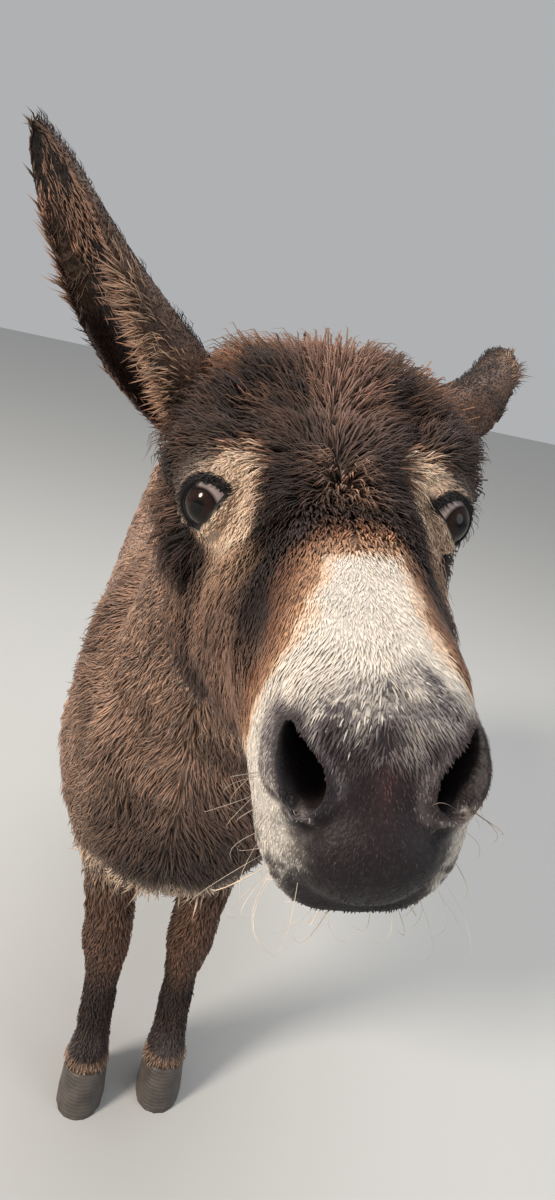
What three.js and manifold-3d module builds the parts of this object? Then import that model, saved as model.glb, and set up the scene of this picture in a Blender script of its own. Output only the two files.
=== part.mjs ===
// A donkey in its winter coat, life size, standing with its head stretched forward and one ear turned back.
// Millimetres, +Z up. The donkey faces -Y and its own left side is +X. The soles stand on Z = 0.
// Every solid reaches out to the tips of the coat.

import * as THREE from "three";
import { mergeVertices } from "three/addons/utils/BufferGeometryUtils.js";
import Module from "manifold-3d";

const wasm = await Module();
wasm.setup();

// Driving dimensions
const WITHERS_HEIGHT = 1000;
const CROUP_HEIGHT = 1000;
const GIRTH_FLOOR = 446; // lowest hair under the chest, above the ground
const BELLY_FLOOR = 436;
const BARREL_HALF_WIDTH = 205;
const BREAST_Y = -212; // the front feet's coronets are about Y = 0
const BODY_LENGTH = 1095; // from the breast to the buttocks
const HEAD_ORIGIN = [65, -470, 1110]; // between the eyes, on the forehead
const HEAD_DOWN_DEG = 13.5; // how far the nose line slopes below level
const HEAD_ROLL_DEG = -6.7; // the left eye is a little higher than the right
const HEAD_TURN_DEG = 6; // towards its own left
const EYE_RADIUS = 21;
const EYE_CENTRE = [83, 4, -41]; // of the left eye, in the head's own frame
const EAR_LENGTH = 256;
const EAR_HALF_WIDTH = 47;
const FRONT_FOOT_X = 59;
const HIND_FOOT_X = 72;
const FORELEG_LEAN = 0.12; // the forelegs come forward by this much for each unit up
const HOOF_HEIGHT = 52; // at the middle of the coronet
const CORONET_TILT_DEG = 14; // the coronet falls from toe to heel
const GAP = 0.3; // between neighbouring solids

const COLOURS = { leg: 0x3d2b22, body: 0x4a3429, mane: 0x2b1f1a, hoof: 0x3b3533, eye: 0x120c09 };
const WORLD = 4000; // edge of the boxes that stand for half spaces
const deg = THREE.MathUtils.degToRad;
const lerp = THREE.MathUtils.lerp;

// --- Making and joining solids -------------------------------------------------------------------

// A closed three.js geometry as a manifold-3d solid, with its faces turned outwards.
function solid(geometry) {
  const bare = geometry.clone();
  bare.deleteAttribute("normal");
  bare.deleteAttribute("uv");
  const merged = mergeVertices(bare, 1e-3);
  const triVerts = Uint32Array.from(merged.index.array);
  const vertProperties = Float32Array.from(merged.attributes.position.array);
  const made = new wasm.Manifold(new wasm.Mesh({ numProp: 3, vertProperties, triVerts }));
  if (made.volume() > 0) return made;
  for (let i = 0; i < triVerts.length; i += 3) {
    [triVerts[i + 1], triVerts[i + 2]] = [triVerts[i + 2], triVerts[i + 1]];
  }
  return new wasm.Manifold(new wasm.Mesh({ numProp: 3, vertProperties, triVerts }));
}

// A manifold-3d solid as a three.js geometry, moved by a matrix if one is given.
function geometryOf(made, matrix = new THREE.Matrix4()) {
  const { vertProperties, triVerts, numProp, numVert } = made.getMesh();
  const positions = new Float32Array(numVert * 3);
  for (let i = 0; i < numVert; i++) {
    positions.set(vertProperties.subarray(i * numProp, i * numProp + 3), i * 3);
  }
  const geometry = new THREE.BufferGeometry();
  geometry.setAttribute("position", new THREE.BufferAttribute(positions, 3));
  geometry.setIndex(new THREE.BufferAttribute(Uint32Array.from(triVerts), 1));
  geometry.applyMatrix4(matrix);
  return geometry;
}

const joined = (...solids) => solids.reduce((whole, next) => whole.add(next));

// Everything behind a plane: a huge box whose face passes through point, looking along normal.
function behind(point, normal, shift = 0) {
  const box = new THREE.BoxGeometry(WORLD, WORLD, WORLD);
  box.translate(0, 0, -WORLD / 2 + shift);
  const direction = new THREE.Vector3(...normal).normalize();
  box.applyQuaternion(new THREE.Quaternion().setFromUnitVectors(new THREE.Vector3(0, 0, 1), direction));
  box.translate(...point);
  return solid(box);
}

// Parts a solid by thin cuts: what lies behind all the planes is the piece, and the rest keeps clear.
function partOff(whole, planes) {
  const region = (shift) => {
    const halves = planes.map(([point, normal]) => behind(point, normal, shift));
    return halves.reduce((a, b) => a.intersect(b));
  };
  return { piece: whole.intersect(region(-GAP / 2)), rest: whole.subtract(region(GAP / 2)) };
}

// An ellipsoid with these half axes, turned about X by lean degrees and about Z by swing degrees.
function ellipsoid(centre, [rx, ry, rz], { lean = 0, swing = 0, around = 12, along = 8, grow = 0 } = {}) {
  const ball = new THREE.SphereGeometry(1, around, along);
  ball.scale(rx + grow, ry + grow, rz + grow);
  ball.rotateX(deg(lean));
  ball.rotateZ(deg(swing));
  ball.translate(...centre);
  return ball;
}

// --- Lofts ----------------------------------------------------------------------------------------

// One slice of a loft, from its top point to its bottom point in the side view, both as [y, z].
// half is its half width and x its sideways place. widest is where it is widest, from 0 at the top to 1.
// taper widens the top and narrows the bottom. square is 2 for an ellipse and more for a boxier slice.
const slice = (top, bottom, half, { x = 0, widest = 0.5, taper = 0, square = 2 } = {}) => ({
  centre: new THREE.Vector3(x, lerp(top[0], bottom[0], widest), lerp(top[1], bottom[1], widest)),
  rise: new THREE.Vector3(0, top[0] - bottom[0], top[1] - bottom[1]),
  size: new THREE.Vector3(half, widest, taper),
  form: new THREE.Vector3(square, 0, 0),
});

// A closed skin through slices. It is a sphere's grid of vertices, each row laid round one slice.
// caps are the lengths of the rounded ends, counted in slices; 0 leaves an end flat.
function loft(slices, { around = 24, along = 18, caps = [0, 0], grow = 0 } = {}) {
  const curve = (key) => new THREE.CatmullRomCurve3(slices.map((s) => s[key]), false, "catmullrom", 0.5);
  const [centres, rises, sizes, forms] = ["centre", "rise", "size", "form"].map(curve);
  const last = slices.length - 1;
  const geometry = new THREE.SphereGeometry(1, around, along + 2);
  const position = geometry.attributes.position;
  const power = (value, square) => Math.sign(value) * Math.abs(value) ** (2 / square);
  const rounding = (inside) => (inside < 1 ? Math.sqrt(Math.max(1 - (1 - inside) ** 2, 0.0004)) : 1);
  for (let row = 0; row <= along + 2; row++) {
    const t = THREE.MathUtils.clamp((row - 1) / along, 0, 1);
    const isPole = row === 0 || row === along + 2;
    const nearEnds = [t, 1 - t].map((share, i) => (caps[i] ? rounding((share * last) / caps[i]) : 1));
    const scale = isPole ? 0 : nearEnds[0] * nearEnds[1];
    const centre = centres.getPoint(t);
    const rise = rises.getPoint(t);
    const height = rise.length();
    rise.normalize();
    const [half, widest, taper] = sizes.getPoint(t).toArray();
    const square = forms.getPoint(t).x;
    for (let column = 0; column <= around; column++) {
      const angle = ((column % around) / around) * 2 * Math.PI;
      const up = power(Math.cos(angle), square);
      const across = power(Math.sin(angle), square) * (1 + taper * up) * (half + grow) * scale;
      const climb = up * (height * (up > 0 ? widest : 1 - widest) + grow) * scale;
      const end = grow * (isPole || scale < 1 ? Math.sign(t - 0.5) : 0);
      const place = rise.clone().multiplyScalar(climb).add(centre);
      place.addScaledVector(centres.getTangent(t), end);
      position.setXYZ(row * (around + 1) + column, place.x + across, place.y, place.z);
    }
  }
  return geometry;
}

// --- Head -----------------------------------------------------------------------------------------
// The head's own frame has its origin between the eyes on the forehead, -Y towards the nose and +Z out of
// the forehead. ahead turns a distance towards the nose into Y.

const headGroup = new THREE.Group();
headGroup.position.set(...HEAD_ORIGIN);
headGroup.rotation.set(deg(HEAD_DOWN_DEG), deg(HEAD_ROLL_DEG), deg(HEAD_TURN_DEG), "ZXY");
headGroup.updateMatrix();
const inHead = (geometry) => geometry.applyMatrix4(headGroup.matrix);
const headPoint = (x, y, z) => new THREE.Vector3(x, y, z).applyMatrix4(headGroup.matrix);
const headDirection = (x, y, z) => new THREE.Vector3(x, y, z).transformDirection(headGroup.matrix);
const headSlice = (ahead, top, bottom, half, form) => slice([-ahead, top], [-ahead, bottom], half, form);
const bothSides = (make) => [-1, 1].map(make);

// From the poll to the upper lip: poll, forehead with the jowls below, orbits, nose bridge and muzzle.
const skullLoft = (grow) =>
  loft(
    [
      headSlice(-225, 2, -150, 70, { widest: 0.45 }),
      headSlice(-175, 22, -205, 102, { widest: 0.44, taper: 0.06, square: 2.5 }),
      headSlice(-110, 30, -234, 116, { widest: 0.48, taper: 0.06, square: 2.9 }),
      headSlice(-45, 22, -232, 114, { widest: 0.48, taper: -0.06, square: 2.8 }),
      headSlice(15, 9, -206, 92, { widest: 0.46, taper: -0.3, square: 2.6 }),
      headSlice(75, 2, -180, 79, { widest: 0.46, taper: -0.3, square: 2.5 }),
      headSlice(140, -1, -162, 67, { widest: 0.45, taper: -0.14, square: 2.5 }),
      headSlice(195, -5, -156, 60, { widest: 0.48, square: 2.6 }),
      slice([-240, -14], [-246, -156], 57, { widest: 0.5, square: 2.7 }),
      slice([-268, -32], [-286, -146], 52, { widest: 0.5, square: 2.7 }),
    ],
    { around: 22, along: 16, caps: [0.5, 0.85], grow },
  );

// The raised rims of the eye sockets, with the lids over the eyeballs.
const orbits = (grow) =>
  bothSides((side) => ellipsoid([side * 74, 46, -34], [47, 63, 46], { grow }));

// The jowls: the broad round cheek muscles over the angles of the jaw.
const jowls = (grow) => bothSides((side) => ellipsoid([side * 62, 66, -160], [54, 92, 80], { grow }));

// The flared wings of the nostrils, the upper lip and the chin under it.
const nostrilWings = (grow) =>
  bothSides((side) => ellipsoid([side * 38, -238, -62], [22, 36, 34], { lean: 14, grow }));
const upperLip = (grow) => [ellipsoid([0, -248, -98], [47, 41, 38], { lean: 12, around: 14, grow })];
const chin = (grow) => [ellipsoid([0, -212, -140], [38, 46, 30], { lean: 8, grow })];

// The nostrils slant from high near the midline down and outwards; the pits go back into the nose.
const nostrilPits = bothSides((side) =>
  ellipsoid([side * 41, -254, -51], [12, 28, 22], { lean: 8, swing: side * -12, around: 10, along: 6 }),
);

// The slit between the lips, from the front of the lips back to the corners of the mouth.
function mouthSlit() {
  const lips = new THREE.Shape();
  lips.moveTo(-305, -134);
  lips.quadraticCurveTo(-250, -136, -188, -116);
  lips.quadraticCurveTo(-250, -141, -305, -141);
  lips.closePath();
  const across = 160;
  const slit = new THREE.ExtrudeGeometry(lips, { depth: across, bevelEnabled: false, curveSegments: 5 });
  const [x, y, z] = [new THREE.Vector3(1, 0, 0), new THREE.Vector3(0, 1, 0), new THREE.Vector3(0, 0, 1)];
  return slit.applyMatrix4(new THREE.Matrix4().makeBasis(y, z, x).setPosition(-across / 2, 0, 0));
}

// The opening between the lids, in front of the eyeball and facing forwards and outwards.
const lidOpening = (side) => {
  const opening = ellipsoid([0, -EYE_RADIUS, 0], [19, 15, 16], { along: 6 });
  opening.rotateZ(side * deg(34));
  const [x, y, z] = EYE_CENTRE;
  return opening.translate(side * x, y, z + 4);
};
const eyeball = (side, radius) => {
  const [x, y, z] = EYE_CENTRE;
  return new THREE.SphereGeometry(radius, 14, 8).translate(side * x, y, z);
};

// The head as one solid in the part's frame. grow swells it to cut its neighbours clear.
function headSolid(grow = 0) {
  const masses = [skullLoft, orbits, jowls, nostrilWings, upperLip, chin].flatMap((make) => make(grow));
  return joined(...masses.map((geometry) => solid(inHead(geometry))));
}

function cutFace(head) {
  const cuts = [...nostrilPits, mouthSlit()];
  for (const side of [-1, 1]) cuts.push(lidOpening(side), eyeball(side, EYE_RADIUS + GAP));
  return cuts.reduce((rest, cut) => rest.subtract(solid(inHead(cut))), head);
}

// --- Ears -----------------------------------------------------------------------------------------

// A long leaf rolled into a funnel, open to -Y, with its base at the origin and its tip up +Z.
// Each row is an arc of the outside followed by the same arc back along the inside.
const EAR_WALL = 9;
function earLeaf(wall) {
  const around = 14;
  const along = 10;
  const geometry = new THREE.SphereGeometry(1, around, along + 2);
  const position = geometry.attributes.position;
  for (let row = 0; row <= along + 2; row++) {
    const t = THREE.MathUtils.clamp((row - 1) / along, 0, 1);
    const isPole = row === 0 || row === along + 2;
    const swell = lerp(0.82, 1, Math.sin(Math.min(t / 0.42, 1) * 0.5 * Math.PI)); // from the root
    const narrow = Math.sqrt(Math.max(1 - Math.max((t - 0.42) / 0.58, 0) ** 2.2, 0.002)); // to the tip
    const half = EAR_HALF_WIDTH * swell * narrow;
    const depth = half * lerp(0.95, 0.55, Math.min(t * 1.6, 1));
    const reach = deg(lerp(172, 92, Math.min(t * 1.4, 1) ** 0.7)); // how far the arc wraps round
    const hollow = THREE.MathUtils.clamp(t / 0.16, 0.05, 1) * Math.max(1 - wall / half, 0.1);
    const bow = -18 * Math.sin(t * Math.PI); // the blade bows forwards along its length
    for (let column = 0; column <= around; column++) {
      const k = column % around;
      const isOuter = k < around / 2;
      const share = isOuter ? k / (around / 2 - 1) : 1 - (k - around / 2) / (around / 2 - 1);
      const angle = lerp(-reach, reach, share);
      const size = isPole ? 0 : isOuter ? 1 : hollow;
      const x = half * Math.sin(angle) * size;
      const y = depth * (Math.cos(angle) * size - 0.35) + bow;
      position.setXYZ(row * (around + 1) + column, x, y, t * EAR_LENGTH);
    }
  }
  return geometry;
}

// The right ear stands out and up, open to the front and the outside. The left one is turned back.
const EARS = {
  right: { root: [-85, 146, -24], tip: [-0.594, 0.226, 0.774], opening: [-0.66, -0.7, -0.3] },
  left: { root: [85, 146, -24], tip: [0.5, 0.86, 0.02], opening: [0.7, -0.4, -0.6] },
};

function earSolid({ root, tip, opening }) {
  const up = new THREE.Vector3(...tip).normalize();
  const back = new THREE.Vector3(...opening).negate();
  back.addScaledVector(up, -back.dot(up)).normalize();
  const side = new THREE.Vector3().crossVectors(back, up);
  const turn = new THREE.Matrix4().makeBasis(side, back, up).setPosition(...root);
  return solid(inHead(earLeaf(EAR_WALL).applyMatrix4(turn)));
}

// --- Neck, trunk, mane and tail -------------------------------------------------------------------

// From inside the shoulders to inside the head, along the crest above and the windpipe below.
const neckLoft = (grow) =>
  loft(
    [
      slice([205, 975], [-70, 600], 126, { widest: 0.6 }),
      slice([125, WITHERS_HEIGHT + 1], [-176, 660], 118, { x: 4, widest: 0.62, taper: -0.24 }),
      slice([5, 1032], [-218, 750], 106, { x: 12, widest: 0.58, taper: -0.24 }),
      slice([-115, 1078], [-252, 822], 98, { x: 24, widest: 0.56, taper: -0.2 }),
      slice([-225, 1126], [-292, 882], 92, { x: 37, widest: 0.52, taper: -0.1 }),
      slice([-305, 1150], [-345, 930], 80, { x: 47 }),
    ],
    { around: 20, along: 9, caps: [0.6, 0.6], grow },
  );

// The barrel, from the breast to the buttocks.
const trunkSlice = (behindBreast, top, bottom, half, form) => {
  const y = BREAST_Y + behindBreast;
  return slice([y, top], [y, bottom], half, form);
};
const trunkLoft = (grow) =>
  loft(
    [
      trunkSlice(0, 800, 580, 92, { widest: 0.55 }),
      trunkSlice(75, 902, 474, 134, { widest: 0.6, taper: -0.08 }),
      trunkSlice(165, 966, GIRTH_FLOOR + 6, 160, { widest: 0.65, taper: -0.16 }),
      trunkSlice(275, 994, GIRTH_FLOOR, 180, { widest: 0.66, taper: -0.24, square: 2.1 }),
      trunkSlice(365, WITHERS_HEIGHT, GIRTH_FLOOR, 190, { widest: 0.66, taper: -0.24, square: 2.1 }),
      trunkSlice(520, 968, BELLY_FLOOR, 201, { widest: 0.66, taper: -0.2, square: 2.15 }),
      trunkSlice(680, 961, BELLY_FLOOR + 5, BARREL_HALF_WIDTH, { widest: 0.64, taper: -0.15, square: 2.1 }),
      trunkSlice(815, 986, GIRTH_FLOOR + 30, 196, { widest: 0.57, taper: -0.06, square: 2.15 }),
      trunkSlice(925, CROUP_HEIGHT, 548, 180, { widest: 0.5, square: 2.15 }),
      trunkSlice(1015, 974, 620, 158, { widest: 0.48, square: 2.1 }),
      trunkSlice(BODY_LENGTH, 918, 700, 118, { widest: 0.5 }),
    ],
    { around: 24, along: 16, caps: [0.95, 1.0], grow },
  );

// The shoulder blades with the upper arms, and the haunches over the hips and thighs.
const shoulders = (grow) =>
  bothSides((side) => ellipsoid([side * 48, -36, 720], [112, 116, 196], { lean: -22, around: 14, grow }));
const haunches = (grow) =>
  bothSides((side) => ellipsoid([side * 50, 690, 780], [136, 178, 196], { lean: 14, around: 14, grow }));

// A short mane that stands along the crest from behind the ears to the withers.
const maneLoft = () =>
  loft(
    [
      slice([-268, 1170], [-250, 1090], 14, { x: 41 }),
      slice([-200, 1152], [-180, 1070], 15, { x: 33 }),
      slice([-110, 1110], [-80, 1030], 15, { x: 22 }),
      slice([0, 1064], [20, 990], 14, { x: 11 }),
      slice([95, 1022], [105, 955], 11, { x: 4 }),
      slice([165, 1003], [165, 950], 7),
    ],
    { around: 8, along: 9, caps: [0.5, 0.8] },
  );

// The tail: a slim dock like a cow's, then a switch of long hair that hangs to the hocks.
const DOCK_Y = BREAST_Y + BODY_LENGTH;
const tailLoft = () =>
  loft(
    [
      slice([DOCK_Y - 62, 962], [DOCK_Y - 68, 905], 26),
      slice([DOCK_Y - 14, 944], [DOCK_Y - 40, 898], 26),
      slice([DOCK_Y + 16, 884], [DOCK_Y - 26, 862], 24),
      slice([DOCK_Y + 22, 780], [DOCK_Y - 20, 775], 21),
      slice([DOCK_Y + 22, 640], [DOCK_Y - 20, 636], 21),
      slice([DOCK_Y + 26, 520], [DOCK_Y - 24, 520], 26),
      slice([DOCK_Y + 26, 430], [DOCK_Y - 24, 430], 26),
      slice([DOCK_Y + 16, 350], [DOCK_Y - 10, 350], 14),
    ],
    { around: 8, along: 12, caps: [0.3, 0.9] },
  );

// --- Legs and hooves ------------------------------------------------------------------------------
// A leg is a loft down from inside the body. Its slices run from the front of the leg to the back, and
// are placed from y, the middle of the fetlock. x is the foot's distance from the midline.

const legSlice = (y, z, front, back, half, x, form) =>
  slice([y - front, z], [y + back, z], half, { x, ...form });

const FETLOCK_HEIGHT = 135;
const frontLeg = (side, fetlockY) => {
  const lean = (z) => fetlockY - FORELEG_LEAN * Math.max(z - FETLOCK_HEIGHT, 0);
  const at = (z, front, back, half, outwards, form) =>
    legSlice(lean(z), z, front, back, half, side * (FRONT_FOOT_X + outwards), form);
  return loft(
    [
      at(690, 84, 90, 52, 20),
      at(590, 84, 90, 60, 28),
      at(510, 68, 72, 57, 24),
      at(420, 47, 48, 46, 12),
      at(340, 37, 37, 37, 5),
      at(275, 39, 35, 37, 2, { square: 2.2 }),
      at(225, 28, 31, 28, 0),
      at(175, 26, 32, 26, 0),
      at(140, 29, 35, 28, 0),
      at(100, 38, 20, 26, 0),
      at(62, 56, 18, 31, 0),
      at(30, 62, 20, 30, 0),
    ],
    { around: 10, along: 16 },
  );
};

// The hind leg runs from the thigh forward to the stifle, back to the hock and down the cannon.
const hindLeg = (side, y) => {
  const at = (outwards) => side * (HIND_FOOT_X + outwards);
  return loft(
    [
      slice([y - 240, 800], [y + 52, 810], 70, { x: at(16) }),
      slice([y - 226, 690], [y + 56, 710], 84, { x: at(22) }),
      slice([y - 208, 590], [y + 26, 620], 72, { x: at(18) }),
      slice([y - 138, 498], [y + 6, 520], 50, { x: at(10) }),
      slice([y - 62, 425], [y + 26, 448], 34, { x: at(4) }),
      slice([y - 38, 362], [y + 40, 385], 33, { x: at(1), square: 2.2 }),
      slice([y - 26, 305], [y + 34, 312], 27, { x: at(0) }),
      slice([y - 22, 220], [y + 28, 220], 22, { x: at(0) }),
      slice([y - 22, 172], [y + 28, 172], 22, { x: at(0) }),
      slice([y - 27, 138], [y + 34, 138], 27, { x: at(0) }),
      slice([y - 36, 100], [y + 20, 100], 25, { x: at(0) }),
      slice([y - 52, 62], [y + 18, 62], 29, { x: at(0) }),
      slice([y - 58, 30], [y + 20, 30], 28, { x: at(0) }),
    ],
    { around: 10, along: 17 },
  );
};

// A narrow, upright hoof with a flat sole, from the ground to above the coronet.
const hoofLoft = (x, y, half) =>
  loft(
    [
      legSlice(y, 0, 84, 20, half + 5, x, { square: 2.3, widest: 0.55 }),
      legSlice(y, 36, 70, 22, half + 2.5, x, { square: 2.2, widest: 0.55 }),
      legSlice(y, 72, 54, 22, half, x, { square: 2.1, widest: 0.55 }),
    ],
    { around: 16, along: 2 },
  );

// y is the middle of the fetlock. The hind feet are a step apart.
const FEET = [
  { name: "front_right", side: -1, y: 33, x: FRONT_FOOT_X, half: 31, leg: frontLeg },
  { name: "front_left", side: 1, y: 67, x: FRONT_FOOT_X, half: 31, leg: frontLeg },
  { name: "hind_right", side: -1, y: 838, x: HIND_FOOT_X, half: 29, leg: hindLeg },
  { name: "hind_left", side: 1, y: 786, x: HIND_FOOT_X, half: 29, leg: hindLeg },
];

const CORONET_AHEAD = 20; // its middle is this far ahead of the fetlock's
const coronet = ({ y }) => [
  [0, y - CORONET_AHEAD, HOOF_HEIGHT],
  [0, Math.sin(deg(CORONET_TILT_DEG)), Math.cos(deg(CORONET_TILT_DEG))],
];

// --- Putting it together --------------------------------------------------------------------------

const donkey = new THREE.Group();
donkey.add(headGroup);

function addMesh(parent, name, made, colour, roughness = 0.9) {
  parent.updateMatrix();
  const local = parent === headGroup ? headGroup.matrix.clone().invert() : new THREE.Matrix4();
  const material = new THREE.MeshStandardMaterial({ color: colour, roughness, metalness: 0 });
  const mesh = new THREE.Mesh(geometryOf(made, local), material);
  mesh.name = name;
  parent.add(mesh);
}

const body = (grow) => [trunkLoft, neckLoft].map((make) => make(grow));
const muscles = (grow) => [shoulders, haunches].flatMap((make) => make(grow));
const flesh = (grow) => joined(...[...body(grow), ...muscles(grow)].map(solid));
const legs = FEET.map((foot) => solid(foot.leg(foot.side, foot.y)));
const whole = joined(flesh(0), headSolid(), ...legs);

// Each leg ends on a seam plane that climbs outwards from the breastbone or the groin, and on its own
// coronet. The planes ahead and behind keep the cut away from the rest of the body.
const SEAM = { x: 34, climb: 0.7 };
const LEG_CUTS = {
  front: { seamZ: 500, ahead: [[0, -150, 0], [0, -1, 0]], behind: [[0, 75, 520], [0, 1, 0.2]] },
  hind: { seamZ: 530, ahead: [[0, 600, 0], [0, -1, 0]], behind: [[0, 2 * BODY_LENGTH, 0], [0, 1, 0]] },
};
let torso = whole;
for (const foot of FEET) {
  const cut = foot.leg === frontLeg ? LEG_CUTS.front : LEG_CUTS.hind;
  const seam = [[foot.side * SEAM.x, 0, cut.seamZ], [-foot.side * SEAM.climb, 0, 1]];
  const midline = [[0, 0, 0], [-foot.side, 0, 0]];
  const { piece, rest } = partOff(torso, [seam, midline, cut.ahead, cut.behind]);
  torso = rest;
  const [point, normal] = coronet(foot);
  const aboveHoof = behind(point, normal.map((n) => -n), -GAP / 2);
  addMesh(donkey, `leg_${foot.name}`, piece.intersect(aboveHoof), COLOURS.leg);
  const hoof = solid(hoofLoft(foot.side * foot.x, foot.y, foot.half));
  addMesh(donkey, `hoof_${foot.name}`, hoof.intersect(behind(point, normal, -GAP / 2)), COLOURS.hoof, 0.6);
}

// The neck ends on a plane from the withers down to the breast, and the head on one behind the poll.
const NECK_CUT = [[0, 120, WITHERS_HEIGHT], [0, 0.76, -0.65]];
const HEAD_CUT = [headPoint(0, 205, 20).toArray(), headDirection(0, 1, -0.25).toArray()];
const { piece: forehand, rest: trunk } = partOff(torso, [NECK_CUT]);
const { piece: headPiece, rest: neck } = partOff(forehand, [HEAD_CUT]);
addMesh(donkey, "trunk", trunk, COLOURS.body);
addMesh(donkey, "neck", neck, COLOURS.body);

const mane = solid(maneLoft()).subtract(flesh(GAP)).subtract(behind(...HEAD_CUT, GAP));
addMesh(donkey, "mane", mane, COLOURS.mane);
addMesh(donkey, "tail", solid(tailLoft()).subtract(flesh(GAP)), COLOURS.mane);

addMesh(headGroup, "head", cutFace(headPiece), COLOURS.body);
const headAndNeck = headSolid(GAP).add(solid(neckLoft(GAP)));
for (const [name, ear] of Object.entries(EARS)) {
  addMesh(headGroup, `ear_${name}`, earSolid(ear).subtract(headAndNeck), COLOURS.body);
}
for (const [name, side] of [["right", -1], ["left", 1]]) {
  addMesh(headGroup, `eye_${name}`, solid(inHead(eyeball(side, EYE_RADIUS))), COLOURS.eye, 0.1);
}

// The origin is the middle of the ground under the donkey's bounding box.
donkey.updateMatrixWorld(true);
const extent = new THREE.Box3().setFromObject(donkey, true);
donkey.position.set(-(extent.min.x + extent.max.x) / 2, -(extent.min.y + extent.max.y) / 2, 0);

export default donkey;
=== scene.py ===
"""A still, life-size donkey in its winter coat, standing with its head stretched forward."""

import math

import bmesh
import bpy
import numpy as np
from mathutils import Matrix, Vector
from mathutils.bvhtree import BVHTree
from mathutils.kdtree import KDTree


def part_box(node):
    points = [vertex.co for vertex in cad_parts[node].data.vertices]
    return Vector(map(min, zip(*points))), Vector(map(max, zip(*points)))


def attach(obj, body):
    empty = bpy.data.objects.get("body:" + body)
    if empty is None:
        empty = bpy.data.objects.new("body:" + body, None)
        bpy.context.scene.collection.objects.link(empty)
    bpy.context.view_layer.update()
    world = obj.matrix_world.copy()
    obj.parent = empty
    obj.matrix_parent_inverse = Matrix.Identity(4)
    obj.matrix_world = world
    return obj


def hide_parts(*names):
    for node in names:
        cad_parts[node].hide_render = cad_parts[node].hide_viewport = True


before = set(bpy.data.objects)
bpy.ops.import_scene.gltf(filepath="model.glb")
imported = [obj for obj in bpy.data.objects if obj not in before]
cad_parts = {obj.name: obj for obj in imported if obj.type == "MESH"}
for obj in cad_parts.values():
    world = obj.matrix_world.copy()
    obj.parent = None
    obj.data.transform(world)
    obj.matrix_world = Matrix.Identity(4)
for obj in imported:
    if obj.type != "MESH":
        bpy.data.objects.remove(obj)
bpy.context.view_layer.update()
scene = bpy.context.scene

# --- Camera ---------------------------------------------------------------------------------------
# It stands close in front of the donkey, a little higher than its head, and looks down over its nose
# with a wide lens, held a little crooked. Its place is measured from the point between the front hooves.

CAMERA_FROM_FRONT_HOOVES = Vector((0.0016, -1.1146, 1.2))
CAMERA_LENS_MM = 27.0
CAMERA_HEADING = math.radians(4.0)
CAMERA_DOWN = math.radians(17.6)
CAMERA_ROLL = math.radians(12.3)


def middle(node):
    low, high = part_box(node)
    return (low + high) / 2


def camera():
    hooves = (middle("hoof_front_left") + middle("hoof_front_right")) / 2
    hooves.z = 0.0
    level = Vector((math.sin(CAMERA_HEADING), math.cos(CAMERA_HEADING), 0.0))
    ahead = level * math.cos(CAMERA_DOWN) - Vector((0, 0, 1)) * math.sin(CAMERA_DOWN)
    right = ahead.cross(Vector((0, 0, 1))).normalized()
    up = right.cross(ahead)
    rolled_right = right * math.cos(CAMERA_ROLL) + up * math.sin(CAMERA_ROLL)
    rolled_up = up * math.cos(CAMERA_ROLL) - right * math.sin(CAMERA_ROLL)
    seen = bpy.data.cameras.new("camera")
    seen.lens = CAMERA_LENS_MM
    made = bpy.data.objects.new("camera", seen)
    turned = Matrix((rolled_right, rolled_up, -ahead)).transposed()
    made.matrix_world = Matrix.Translation(hooves + CAMERA_FROM_FRONT_HOOVES) @ turned.to_4x4()
    scene.collection.objects.link(made)
    scene.camera = made


camera()

# --- Floor and light ------------------------------------------------------------------------------
# A pale studio floor. A broad warm lamp stands to the donkey's right, as low sun does, with a cool
# one opposite and a soft one overhead.

FLOOR_HALF = 14.0
FLOOR_COLOUR = (0.54, 0.54, 0.53)
SKY_COLOUR = (0.86, 0.88, 0.90)
SKY_STRENGTH = 0.50


def laid_in(name, mesh):
    """An object of this mesh, put in the scene."""
    made = bpy.data.objects.new(name, mesh)
    scene.collection.objects.link(made)
    return made


def mesh_of(bm, name):
    """A new mesh of what the bmesh holds."""
    mesh = bpy.data.meshes.new(name)
    bm.to_mesh(mesh)
    bm.free()
    return mesh


def new_finish(name, **settings):
    """A material, its node tree and its surface, with the surface's plain settings made."""
    made = bpy.data.materials.new(name)
    made.use_nodes = True
    surface = made.node_tree.nodes["Principled BSDF"]
    for key, value in settings.items():
        surface.inputs[key.replace("_", " ")].default_value = value
    return made, made.node_tree, surface


def floor():
    bm = bmesh.new()
    bmesh.ops.create_grid(bm, x_segments=1, y_segments=1, size=FLOOR_HALF)
    made = laid_in("floor", mesh_of(bm, "floor"))
    paint, _, _ = new_finish("floor_paint", Base_Color=(*FLOOR_COLOUR, 1.0), Roughness=0.8)
    made.data.materials.append(paint)


def lamp(name, place, target, size, watts, colour):
    light = bpy.data.lights.new(name, "AREA")
    light.shape = "DISK"
    light.size = size
    light.energy = watts
    light.color = colour
    made = bpy.data.objects.new(name, light)
    towards = Vector(target) - Vector(place)
    made.matrix_world = Matrix.Translation(place) @ towards.to_track_quat("-Z", "Y").to_matrix().to_4x4()
    scene.collection.objects.link(made)


floor()
FACE = (0.04, -0.6, 1.05)
lamp("sun_side", (-6.0, -4.4, 5.2), FACE, 2.2, 780.0, (1.0, 0.91, 0.80))
lamp("shade_side", (4.2, -2.4, 2.6), FACE, 3.2, 60.0, (0.86, 0.93, 1.0))
lamp("overhead", (0.0, 0.8, 3.6), (0, 0.1, 0.8), 3.0, 60.0, (1.0, 0.98, 0.95))
scene.view_settings.view_transform = "Standard"
world = bpy.data.worlds.new("studio")
scene.world = world
world.use_nodes = True
world.node_tree.nodes["Background"].inputs["Color"].default_value = (*SKY_COLOUR, 1.0)
world.node_tree.nodes["Background"].inputs["Strength"].default_value = SKY_STRENGTH

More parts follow.
